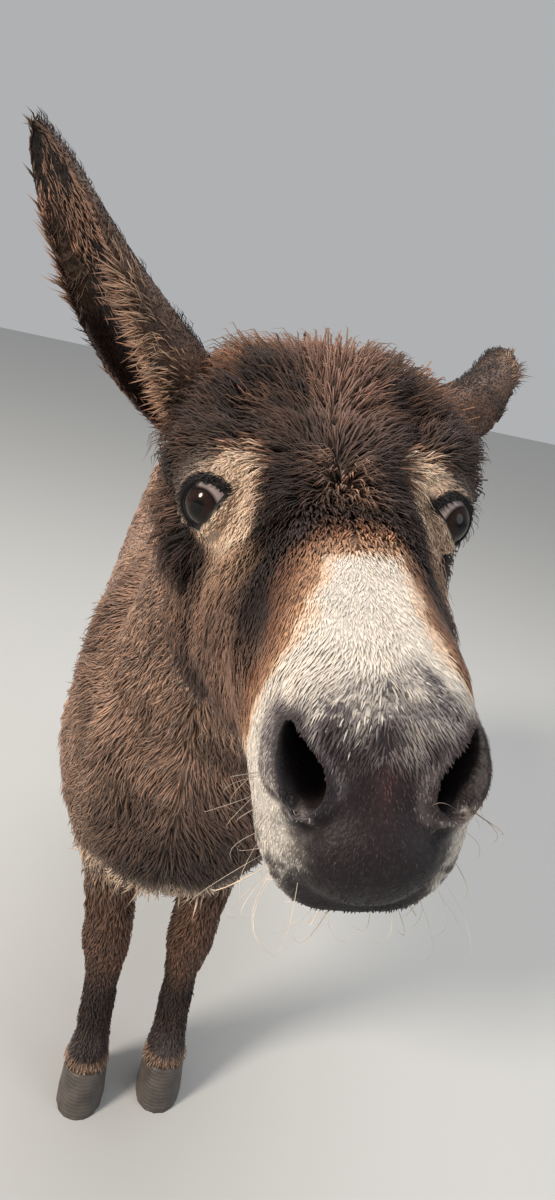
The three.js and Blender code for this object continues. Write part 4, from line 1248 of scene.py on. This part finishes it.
def hair_of(points, places):
    """Every point's hair: the four numbers of its region, blended into the next region's."""
    plain = points[: len(points) - len(places)]
    y, z = plain[:, 1], plain[:, 2]
    held = in_head(plain)
    side = mirrored(held)

    def lay(found, name, share):
        return mix(found, np.array(HAIR[name]), np.clip(share, 0, 1)[:, None])

    found = np.tile(np.array(HAIR["trunk"]), (len(plain), 1))
    found = lay(found, "rump", step(0.30, 0.55, y))
    found = lay(found, "shoulder", step(0.06, -0.08, y))
    found = lay(found, "belly", step(0.57, 0.48, z) * step(0.40, 0.44, z) * step(0.6, 0.4, y))
    hind = 1.0 + 0.22 * step(0.2, 0.4, y)[:, None] * (0, 1, 1, 0)
    found = lay(found, "forearm", step(0.50, 0.42, z))
    found = lay(found, "cannon", step(0.36, 0.28, z))
    found = lay(found, "pastern", step(0.16, 0.11, z))
    found = found * hind
    face = np.tile(np.array(HAIR["cheek"]), (len(plain), 1))
    face = lay(face, "jaw", step(-0.12, -0.17, held[:, 2]) * step(-0.16, -0.10, held[:, 1]))
    temple = step(0.088, 0.102, side[:, 0]) * step(-0.01, 0.02, held[:, 1])
    temple *= mix(0.3, 1.0, step(0.02, -0.02, held[:, 0]))
    face = lay(face, "temple", temple * step(-0.125, -0.095, held[:, 2]))
    face = lay(face, "brow", step(-0.075, -0.040, held[:, 2]) * step(-0.10, -0.05, held[:, 1]))
    face = lay(face, "poll", step(0.03, 0.10, held[:, 1]) * step(-0.10, -0.05, held[:, 2]))
    face = lay(face, "bridge", step(-0.045, -0.085, held[:, 1]) * step(-0.075, -0.045, held[:, 2]))
    face = lay(face, "bridge", step(-0.13, -0.16, held[:, 1]))
    face = lay(face, "nose", step(-0.112, -0.135, held[:, 1]) * step(-0.060, -0.035, held[:, 2]))
    face = lay(face, "nose", step(-0.175, -0.195, held[:, 1]))
    face = lay(face, "mottle", step(-0.218, -0.230, held[:, 1]))
    low = step(-0.030, -0.055, held[:, 2]) * step(-0.20, -0.23, held[:, 1])
    nostril, _, _ = nostril_place(side)
    by_nostril = step(0.010, 0.004, nostril) * step(0.040, 0.034, np.linalg.norm(side - NOSTRIL, axis=1))
    face = lay(face, "muzzle", np.maximum(low, by_nostril))
    by_nostril = step(0.044, 0.036, np.linalg.norm(side - NOSTRIL, axis=1))
    shorter = np.minimum(face[:, 0], 0.0012 + 0.75 * np.maximum(nostril, 0.0))
    face[:, 0] = mix(face[:, 0], shorter, by_nostril)
    ring = np.linalg.norm((side - EYE_IN_HEAD) / (1.0, 1.1, 1.0), axis=1)
    face = lay(face, "eye_ring", step(0.046, 0.034, ring))
    whorl = mound(side, (0.0, -0.034, 0.0), (0.010, 0.012, 0.020))
    face = face * (1.0 + whorl[:, None] * (0.0, 0.0, -0.3, 1.8))
    found = mix(found, face, step(0.05, -0.03, behind_poll(plain))[:, None])
    tail = on_tail(plain)
    found = lay(found, "dock", tail)
    found = lay(found, "switch", tail * step(0.70, 0.60, z))
    ear = mix(np.array(HAIR["ear"]), np.array(HAIR["ear_inside"]), places[:, 2:])
    fringe = ear_fringe(places)
    ear = ear * mix(np.ones(4), np.array((2.0, 1.1, 0.8, 1.5)), fringe[:, None])
    return np.vstack((found, ear))


skin_hair = hair_of(skin_points, ear_places)


def hair_share(points, places):
    """How thickly hair grows: none in the nostrils, on the eyes' rims, on the hooves or on the lips."""
    plain = points[: len(points) - len(places)]
    held = in_head(plain)
    side = mirrored(held)
    share = step(CORONET_Z - 0.001, CORONET_Z + 0.002, plain[:, 2])
    nostril, _, _ = nostril_place(side)
    in_nostril = (np.linalg.norm(side - NOSTRIL, axis=1) < 0.040) & (nostril < 0.0012)
    share[in_nostril] = 0
    near = np.flatnonzero(np.linalg.norm(side - EYE_IN_HEAD, axis=1) < LID_PAINT_REACH)
    lid, _, _ = from_lid_edge(side[near])
    share[near] *= step(0.0012, 0.0030, lid)
    bare = step(0.004, -0.006, from_outline(held[:, [0, 2]], DARK_END)) * step(-0.225, -0.245, held[:, 1])
    share *= 1 - 0.75 * bare
    lips = along(side, (0.0, -0.290, -0.136), (0.050, -0.196, -0.118), 0.004)
    share *= 1 - step(0.5, 0.9, lips)
    return np.concatenate((share, step(0.03, 0.08, places[:, 0]) * step(1.0, 0.985, places[:, 0])))


hair_growth = hair_share(skin_points, ear_places)
skin_mesh.calc_loop_triangles()
triangle_corners = numbers(skin_mesh.loop_triangles, "vertices", 3, np.int32)
triangle_loops = numbers(skin_mesh.loop_triangles, "loops", 3, np.int32)
skin_uv = numbers(skin_mesh.uv_layers["OFBake"].uv, "vector", 2)


def unit(vectors):
    return vectors / np.maximum(np.linalg.norm(vectors, axis=1), 1e-9)[:, None]


COLOUR_FROM = 0.6  # how far along its length a hair takes its colour from the markings under it
SOWN = 1.9  # how many roots are tried for each that there is room for
CELL = 1.12  # the side of the box that one root keeps for itself, in rooms
CELL_SIZES = 6  # how many sizes of box there are for each time that the room grows e-fold


def hair_roots(seed):
    """Roots spread evenly over the skin, each with what the coat needs to know there."""
    chance = np.random.default_rng(seed)
    corners = skin_points[triangle_corners]
    sides = corners[:, 1:] - corners[:, :1]
    area = 0.5 * np.linalg.norm(np.cross(sides[:, 0], sides[:, 1]), axis=1)
    room = skin_hair[triangle_corners, 2].mean(axis=1)
    grown = hair_growth[triangle_corners].mean(axis=1)
    wanted = area / room**2 * grown * SOWN
    count = np.floor(wanted + chance.random(len(wanted))).astype(int)
    chosen = np.repeat(np.arange(len(area)), count)
    chosen = chosen[chance.permutation(len(chosen))]
    share = np.sort(chance.random((len(chosen), 2)), axis=1)
    share = np.column_stack((share[:, 0], share[:, 1] - share[:, 0], 1 - share[:, 1]))[:, :, None]
    roots = (skin_points[triangle_corners[chosen]] * share).sum(axis=1)
    cell = CELL * np.exp(np.round(np.log(room[chosen]) * CELL_SIZES) / CELL_SIZES)
    class_of_cell = np.round(np.log(cell) * CELL_SIZES)
    keys = np.column_stack((np.floor(roots / cell[:, None]), class_of_cell)).astype(np.int32)
    keys = np.ascontiguousarray(keys).view([("", keys.dtype)] * 4).ravel()
    kept = np.sort(np.unique(keys, return_index=True)[1])
    chosen, share, roots = chosen[kept], share[kept], roots[kept]

    def at_roots(values):
        return (values[triangle_corners[chosen]] * share).sum(axis=1)

    on_ears = (triangle_corners[chosen] >= face_and_body).all(axis=1)
    colours = at_roots(skin_colours)
    reach = at_roots(unit(skin_ways)) * (COLOUR_FROM * at_roots(skin_hair)[:, :1])
    colours[~on_ears] = coat_colour((roots + reach)[~on_ears], ear_places[:0])
    return {
        "root": roots,
        "out": at_roots(skin_normals),
        "way": at_roots(skin_ways),
        "hair": at_roots(skin_hair),
        "colour": colours,
        "flat": (skin_uv[triangle_loops[chosen]] * share).sum(axis=1),
        "ear": on_ears,
    }


coat = hair_roots(21)


UV_PATCH = 0.003  # how wide a tuft's own place on the unwrapped skin is
STRAND_WIDTH, STRAND_LENGTH = 0.0011, 0.018  # one turn of the single hairs' pattern, across and along


def locks_of(roots, size):
    """Which lock each hair belongs to, and the lock's middle."""
    wander = np.stack([ripple(roots, 1.3 * size, 36 + i) for i in range(3)], axis=1)
    cells = np.floor(roots / size + 0.8 * wander).astype(int)
    _, lock = np.unique(cells, axis=0, return_inverse=True)
    lock = lock.ravel()
    count = np.bincount(lock)
    middles = np.stack([np.bincount(lock, roots[:, i]) / count for i in range(3)], axis=1)
    return lock, middles[lock]


SWAYS = ((0.32, 0.045, 31), (0.22, 0.018, 32))  # how far hairs stray, over what size, and the seed
SHORT_HAIR, SHORT_SWAY = 0.012, 0.35  # hair shorter than this strays by so much of that
CLUMPS = (0.022, 33)
BENDS = (0.030, 34)
LOCK_LIGHT = (0.78, 1.25)
TUFT_SIDES = ((0, 1), (1, 2), (2, 0))  # the corners that each side of a tuft's section joins
TUFT_TAPER = ((0, 0.3, 0.7, 1), (0.75, 1.0, 0.72, 0.0))  # places along a tuft, and its width there
ROOT_SUNK = 0.0006  # how deep a tuft's root lies in the skin


def tufts(name, grown, rings, seed, curl=0.25, unruly=0.14, root_light=0.5, tip_light=1.35, lock_size=0.012,
        gather=0.65, thickness=0.36, variety=0.13, rounded=True):
    """Joins one closed tapering tuft for each root into one mesh. A tuft has a three-sided section at
    each ring and ends in a point, and neighbouring tufts lean together into locks."""
    chance = np.random.default_rng(seed)
    count = len(grown["root"])
    out = unit(grown["out"])
    way = grown["way"] - (grown["way"] * out).sum(axis=1)[:, None] * out
    way = unit(way)
    side = np.cross(out, way)
    length, width, _, slant = grown["hair"].T
    sway = sum(far * ripple(grown["root"], size, turn) for far, size, turn in SWAYS)
    sway = np.where(length < SHORT_HAIR, SHORT_SWAY * sway, sway) + chance.normal(0, unruly, count)
    way = way * np.cos(sway)[:, None] + side * np.sin(sway)[:, None]
    side = np.cross(out, way)
    clump = ripple(grown["root"], *CLUMPS)
    length = length * np.clip(chance.normal(1.0, 0.16, count) + 0.18 * clump, 0.5, 1.5)
    width = width * chance.uniform(0.75, 1.25, count)
    slant = np.radians(slant * np.clip(1 + 0.55 * clump + chance.normal(0, 0.25, count), 0.25, 2.2))
    rise, run_share = np.sin(slant), np.cos(slant)
    bend = curl * (0.6 * ripple(grown["root"], *BENDS) + chance.normal(0, 0.35, count))
    lock, lock_middle = locks_of(grown["root"], lock_size)
    to_middle = lock_middle - grown["root"]
    together = gather * (to_middle * side).sum(axis=1)
    from_middle = np.linalg.norm(to_middle, axis=1) / lock_size
    lock_light = chance.uniform(*LOCK_LIGHT, lock.max() + 1)[lock]
    steps = np.linspace(0.0, 1.0, rings + 1)
    middle_line = []
    for t in steps:
        run = t * length * run_share
        lift = length * rise * (math.sin(t * math.pi * 0.62) - 0.12 * t) - ROOT_SUNK * (1 - t)
        aside = length * bend * t * t + together * t**1.3
        middle_line.append(grown["root"] + way * run[:, None] + out * lift[:, None] + side * aside[:, None])
    widths = np.interp(steps[:-1], *TUFT_TAPER)
    points = []
    for ring, share in enumerate(widths):
        half, thick = (0.5 * width * share)[:, None], (thickness * width * share)[:, None]
        centre = middle_line[ring]
        points += [centre - side * half, centre + side * half, centre + out * thick]
    points.append(middle_line[-1])
    points = np.stack(points, axis=1)

    quads = [[3 * r + a, 3 * r + b, 3 * r + 3 + b, 3 * r + 3 + a] for r in range(rings - 1)
        for a, b in TUFT_SIDES]
    last = 3 * (rings - 1)
    ends = [[last + a, last + b, last + 3] for a, b in TUFT_SIDES] + [[0, 2, 1]]
    each = 3 * rings + 1
    pattern = np.array([corner for face in quads + ends for corner in face])
    sizes = np.array([len(face) for face in quads + ends])
    loops = (np.arange(count)[:, None] * each + pattern).ravel()
    totals = np.tile(sizes, count)
    mesh = bpy.data.meshes.new(name)
    mesh.vertices.add(count * each)
    mesh.vertices.foreach_set("co", points.astype(np.float32).ravel())
    mesh.loops.add(len(loops))
    mesh.loops.foreach_set("vertex_index", loops.astype(np.int32))
    mesh.polygons.add(len(totals))
    mesh.polygons.foreach_set("loop_start", (np.cumsum(totals) - totals).astype(np.int32))
    mesh.polygons.foreach_set("use_smooth", np.full(len(totals), rounded))
    mesh.update(calc_edges=True)

    # Painted shade: hairs at a lock's edge are painted darker, and each tuft is painted darker at its root by
    # root_light, for the shade deep in the coat. The paler tips are the hair's own.
    shaded = 1.12 - 0.45 * gather * from_middle
    light = chance.normal(1.0, variety, count) * mix(1.0, lock_light, gather) * shaded
    length_along = np.append(np.repeat(steps[:-1], 3), 1.0)
    shades = np.interp(length_along, (0, 0.5, 1), (root_light, 1.0, tip_light))
    colours = grown["colour"][:, None, :] * (np.clip(light, 0.5, 1.6)[:, None] * shades)[:, :, None]
    warm = np.clip(chance.normal(0.0, 0.4 * variety, count), -0.1, 0.15)[:, None, None]
    colours = colours * (1 + warm * np.array((1.0, 0.1, -0.7)))
    keep_colour(mesh, np.clip(colours, 0, 0.95).reshape(-1, 3))
    across = np.array((0.0, 1.0, 0.5) * rings + (0.5,))
    strand = mesh.attributes.new("strand", "FLOAT_VECTOR", "POINT")
    held = np.empty((count, each, 3), np.float32)
    held[:, :, 0] = across * (width / STRAND_WIDTH)[:, None] + chance.uniform(0, 40, count)[:, None]
    held[:, :, 1] = length_along * (length / STRAND_LENGTH)[:, None]
    held[:, :, 2] = chance.uniform(0, 40, count)[:, None]
    strand.data.foreach_set("vector", held.ravel())
    patch = np.column_stack((across - 0.5, length_along - 0.5)) * UV_PATCH
    spread = np.clip(grown["flat"][:, None, :] + patch, 0.0, 1.0).reshape(-1, 2)
    mesh.uv_layers.new(name="OFBake")
    mesh.uv_layers["OFBake"].uv.foreach_set("vector", spread[loops].astype(np.float32).ravel())
    return mesh


def hair_finish(name, roughness, contrast):
    """Hair: the lock's colour broken into single hairs along it, with a soft gloss."""
    made, tree, surface = new_finish(name, Roughness=roughness, Specular_IOR_Level=0.26, Sheen_Weight=0.04,
        Sheen_Roughness=0.5)
    strand = held_in(tree, "strand").outputs["Vector"]
    hairs = node(tree, "ShaderNodeTexNoise", Vector=strand, Scale=1.0, Detail=2.0).outputs["Fac"]
    mottled(tree, surface, held_in(tree, "coat").outputs["Color"], hairs, 1.0 - contrast, 1.0 + contrast)
    roughened(tree, surface, hairs, 1.6 * contrast, 0.0006)
    return made


coat_hair = hair_finish("coat", 0.58, 0.30)
nose_hair = hair_finish("nose_coat", 0.62, 0.10)


def plant(name, grown, rings, seed, slot, finish=coat_hair, **style):
    """Makes a piece of hair that grows from these roots."""
    mesh = tufts(name, grown, rings, seed, **style)
    mesh.materials.append(finish)
    piece = laid_in(name, mesh)
    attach(piece, "root")


def grow(name, where, rings, seed, slot, **style):
    """Makes a piece of the coat from the roots that are chosen."""
    plant(name, {key: values[where] for key, values in coat.items()}, rings, seed, slot, **style)


# --- Coat -----------------------------------------------------------------------------------------------
# The coat itself, in pieces: short sleek hair on the nose, fluffy hair on the forehead, longer shaggy
# hair on the cheeks, neck and body, and short hair on the legs and ears.

NOSE_AHEAD_OF, BROW_OVER, POLL_BEHIND = -0.105, -0.055, 0.045  # in the head's frame
NECK_AHEAD_OF, FORE_AHEAD_OF, LEGS_UNDER = -0.12, 0.22, 0.44
root_held = in_head(coat["root"])
on_ear = coat["ear"]
on_head = (behind_poll(coat["root"]) < 0) & ~on_ear
on_nose = on_head & (root_held[:, 1] < NOSE_AHEAD_OF)
on_brow = on_head & ~on_nose & (root_held[:, 2] > BROW_OVER)
on_cheek = on_head & ~on_nose & ~on_brow
on_body = ~on_head & ~on_ear
on_leg = on_body & (coat["root"][:, 2] < LEGS_UNDER)
ahead = coat["root"][:, 1] < FORE_AHEAD_OF
tail_root = on_body & (on_tail(coat["root"]) > 0.5)
on_leg &= ~tail_root
on_trunk = on_body & ~on_leg & ~tail_root
on_neck = on_trunk & (coat["root"][:, 1] < NECK_AHEAD_OF)

NECK_STYLE = {"curl": 0.35, "unruly": 0.1, "root_light": 0.65, "tip_light": 1.3, "lock_size": 0.012}
BODY_STYLE = {"curl": 0.4, "unruly": 0.1, "root_light": 0.62, "tip_light": 1.3, "gather": 0.5,
    "variety": 0.10}
grow("coat_nose", on_nose, 2, 41, "face_coat", finish=nose_hair, curl=0.15, unruly=0.10, root_light=0.94,
    tip_light=1.03, lock_size=0.005, gather=0.25, thickness=0.16, variety=0.05, rounded=False)
on_poll = on_brow & (root_held[:, 1] > POLL_BEHIND)
grow("coat_brow", on_brow & ~on_poll, 3, 42, "face_coat", curl=0.3, unruly=0.13, tip_light=1.75,
    lock_size=0.0075)
grow("coat_poll", on_poll, 3, 48, "face_coat", curl=0.35, unruly=0.15, root_light=0.45, tip_light=1.8,
    lock_size=0.009)
grow("coat_cheeks", on_cheek, 2, 43, "face_coat", curl=0.3, root_light=0.6, tip_light=1.4, lock_size=0.008)
grow("coat_ears", on_ear, 2, 44, "ear_coat", curl=0.3, tip_light=1.2, lock_size=0.007)
on_left = coat["root"][:, 0] > 0.0
grow("coat_neck_left", on_neck & on_left, 2, 45, "body_coat", **NECK_STYLE)
grow("coat_neck_right", on_neck & ~on_left, 2, 55, "body_coat", **NECK_STYLE)
grow("coat_trunk", on_trunk & ~on_neck & ahead, 2, 46, "body_coat", lock_size=0.017, **BODY_STYLE)
grow("coat_rump", on_trunk & ~on_neck & ~ahead, 2, 47, "body_coat", lock_size=0.019, **BODY_STYLE)
grow("coat_forelegs", on_leg & ahead, 2, 48, "leg_coat", curl=0.2, tip_light=1.3, lock_size=0.009)
grow("coat_hindlegs", on_leg & ~ahead, 2, 49, "leg_coat", curl=0.2, tip_light=1.3, lock_size=0.010)

# --- Mane and tail --------------------------------------------------------------------------------------
# A donkey's mane is short and stands up along the crest of the neck. The tail is smooth at its root and
# ends in a long switch.

under_hair = KDTree(len(coat["root"]))
for i, spot in enumerate(coat["root"]):
    under_hair.insert(spot, i)
under_hair.balance()


def planted(roots, out, way, length, hair, colour):
    """Hairs of these lengths that grow at given places, each set on the unwrapped skin where the nearest
    root is. hair is their width, the room between them and their slant."""
    nearest = [under_hair.find(spot)[1] for spot in roots]
    each = np.ones((len(roots), 1))
    return {
        "root": roots,
        "out": out,
        "way": way,
        "hair": np.column_stack((length, each * hair)),
        "colour": each * colour,
        "flat": coat["flat"][nearest],
    }


MANE_HALF_WIDTH = 0.013
MANE_ROOM = 0.0027
MANE_HAIR = (0.0030, 0.0, 66.0)
ABOVE_ALL = 1.4  # higher than any part of the donkey


def mane_roots(seed):
    chance = np.random.default_rng(seed)
    low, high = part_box("mane")
    skin_tree = BVHTree.FromPolygons(skin_points[:face_and_body].tolist(),
        [face for face in triangle_corners.tolist() if max(face) < face_and_body])
    roots = []
    for y in np.arange(low.y - 0.02, high.y + 0.02, MANE_ROOM):
        crest = mix(-0.002, 0.016, (high.y - y) / (high.y - low.y))
        for x in np.arange(-MANE_HALF_WIDTH, MANE_HALF_WIDTH, MANE_ROOM):
            spot = Vector((x + crest, y, ABOVE_ALL)) + Vector((*chance.uniform(-0.001, 0.001, 2), 0))
            hit = skin_tree.ray_cast(spot, Vector((0, 0, -1)))[0]
            if hit is not None:
                roots.append((*hit, x / MANE_HALF_WIDTH, (y - low.y) / (high.y - low.y)))
    return np.array(roots)


rooted = mane_roots(51)
across, back = rooted[:, 3], rooted[:, 4]
mane_out = np.column_stack((0.35 * across, 0.15 + 0 * across, 1 + 0 * across))
mane_way = np.column_stack((0.25 * across, 1 + 0 * across, 0 * across))
mane_tall = 0.046 * step(1.08, 0.80, back) * step(-0.14, 0.10, back)
mane_length = mane_tall * (1.1 - 0.35 * across**2) + 0.012
mane_colour = mix(BLACK_BROWN, DARK_BROWN, (0.5 + 0.5 * ripple(rooted[:, :3], 0.02, 52))[:, None])
mane = planted(rooted[:, :3], mane_out, mane_way, mane_length, MANE_HAIR, mane_colour)
plant("mane_hair", mane, 3, 53, "mane_hair", curl=0.25, unruly=0.2, tip_light=2.2)

coat["way"][tail_root] = (0.0, -0.06, -1.0)
coat["out"][tail_root] = coat["out"][tail_root] * (1.0, 1.0, 0.0) + (0.0, 0.02, 0.0)
grow("tail_hair", tail_root, 3, 54, "mane_hair", curl=0.10, unruly=0.05, tip_light=1.3)

# --- Whiskers and lashes --------------------------------------------------------------------------------
# Long single hairs stand out from the lips, chin and nostrils, and stiff lashes hang from the upper lids.

WHISKER_HAIR = (0.0006, 0.0, 50.0)
WHISKER_GREY, WHISKER_PALE = tone(120, 104, 96), tone(214, 198, 178)
LASH_HAIR = (0.0007, 0.0, 34.0)
LASHES = 52  # on each eye


def whisker_roots(seed):
    chance = np.random.default_rng(seed)
    side = mirrored(root_held)
    likely = 0.030 * mound(side, (0.034, -0.235, -0.140), (0.022, 0.040, 0.028))
    likely += 0.012 * mound(side, (0.045, -0.255, -0.085), (0.020, 0.025, 0.024))
    likely += 0.020 * mound(side, (0.0, -0.235, -0.160), (0.025, 0.040, 0.020))
    return np.flatnonzero((chance.random(len(side)) < likely) & on_head)


found = whisker_roots(61)
beard = step(-0.10, -0.13, root_held[found, 2])
hanging = np.tile((0.0, 0.15, -0.5), (len(found), 1)) @ HEAD_AXES.T
whisker_colour = mix(WHISKER_GREY, WHISKER_PALE, (0.25 + 0.75 * beard)[:, None])
whiskers = planted(coat["root"][found], coat["out"][found], coat["way"][found] + hanging,
    0.020 + 0.026 * beard, WHISKER_HAIR, whisker_colour)
plant("whiskers", whiskers, 7, 62, "face_coat", curl=0.7, unruly=0.35, root_light=0.9, tip_light=1.0,
    gather=0.0)

for name, side in (("lashes_left", 1), ("lashes_right", -1)):
    share = np.linspace(0.10, 0.96, LASHES)
    outline = lid_outline(2 * LID_POINTS)[:LID_POINTS]
    places = np.linspace(0, 1, LID_POINTS)
    angles = np.column_stack([np.interp(share, places, outline[:, i]) for i in (0, 1)])
    roots = on_eye(angles + (0.0, 1.5), EYE_RADIUS + 0.0022)
    out = unit(roots - EYE_IN_HEAD)
    fan = unit(angles - (LID_MIDDLE, LID_CORNERS))
    way = 0.8 * out + 0.3 * (fan[:, :1] * LID_ACROSS + fan[:, 1:] * LID_UP) - 0.45 * np.array((0, 0.6, 0.8))
    flip = np.array((side, 1, 1))
    length = 0.005 + 0.005 * np.sin(share * math.pi)
    lashes = planted(from_head(roots * flip), (out * flip) @ HEAD_AXES.T, (way * flip) @ HEAD_AXES.T,
        length, LASH_HAIR, LID_BLACK)
    plant(name, lashes, 4, 63, "face_coat", curl=0.2, unruly=0.10, root_light=1.0, tip_light=1.6, gather=0.0)
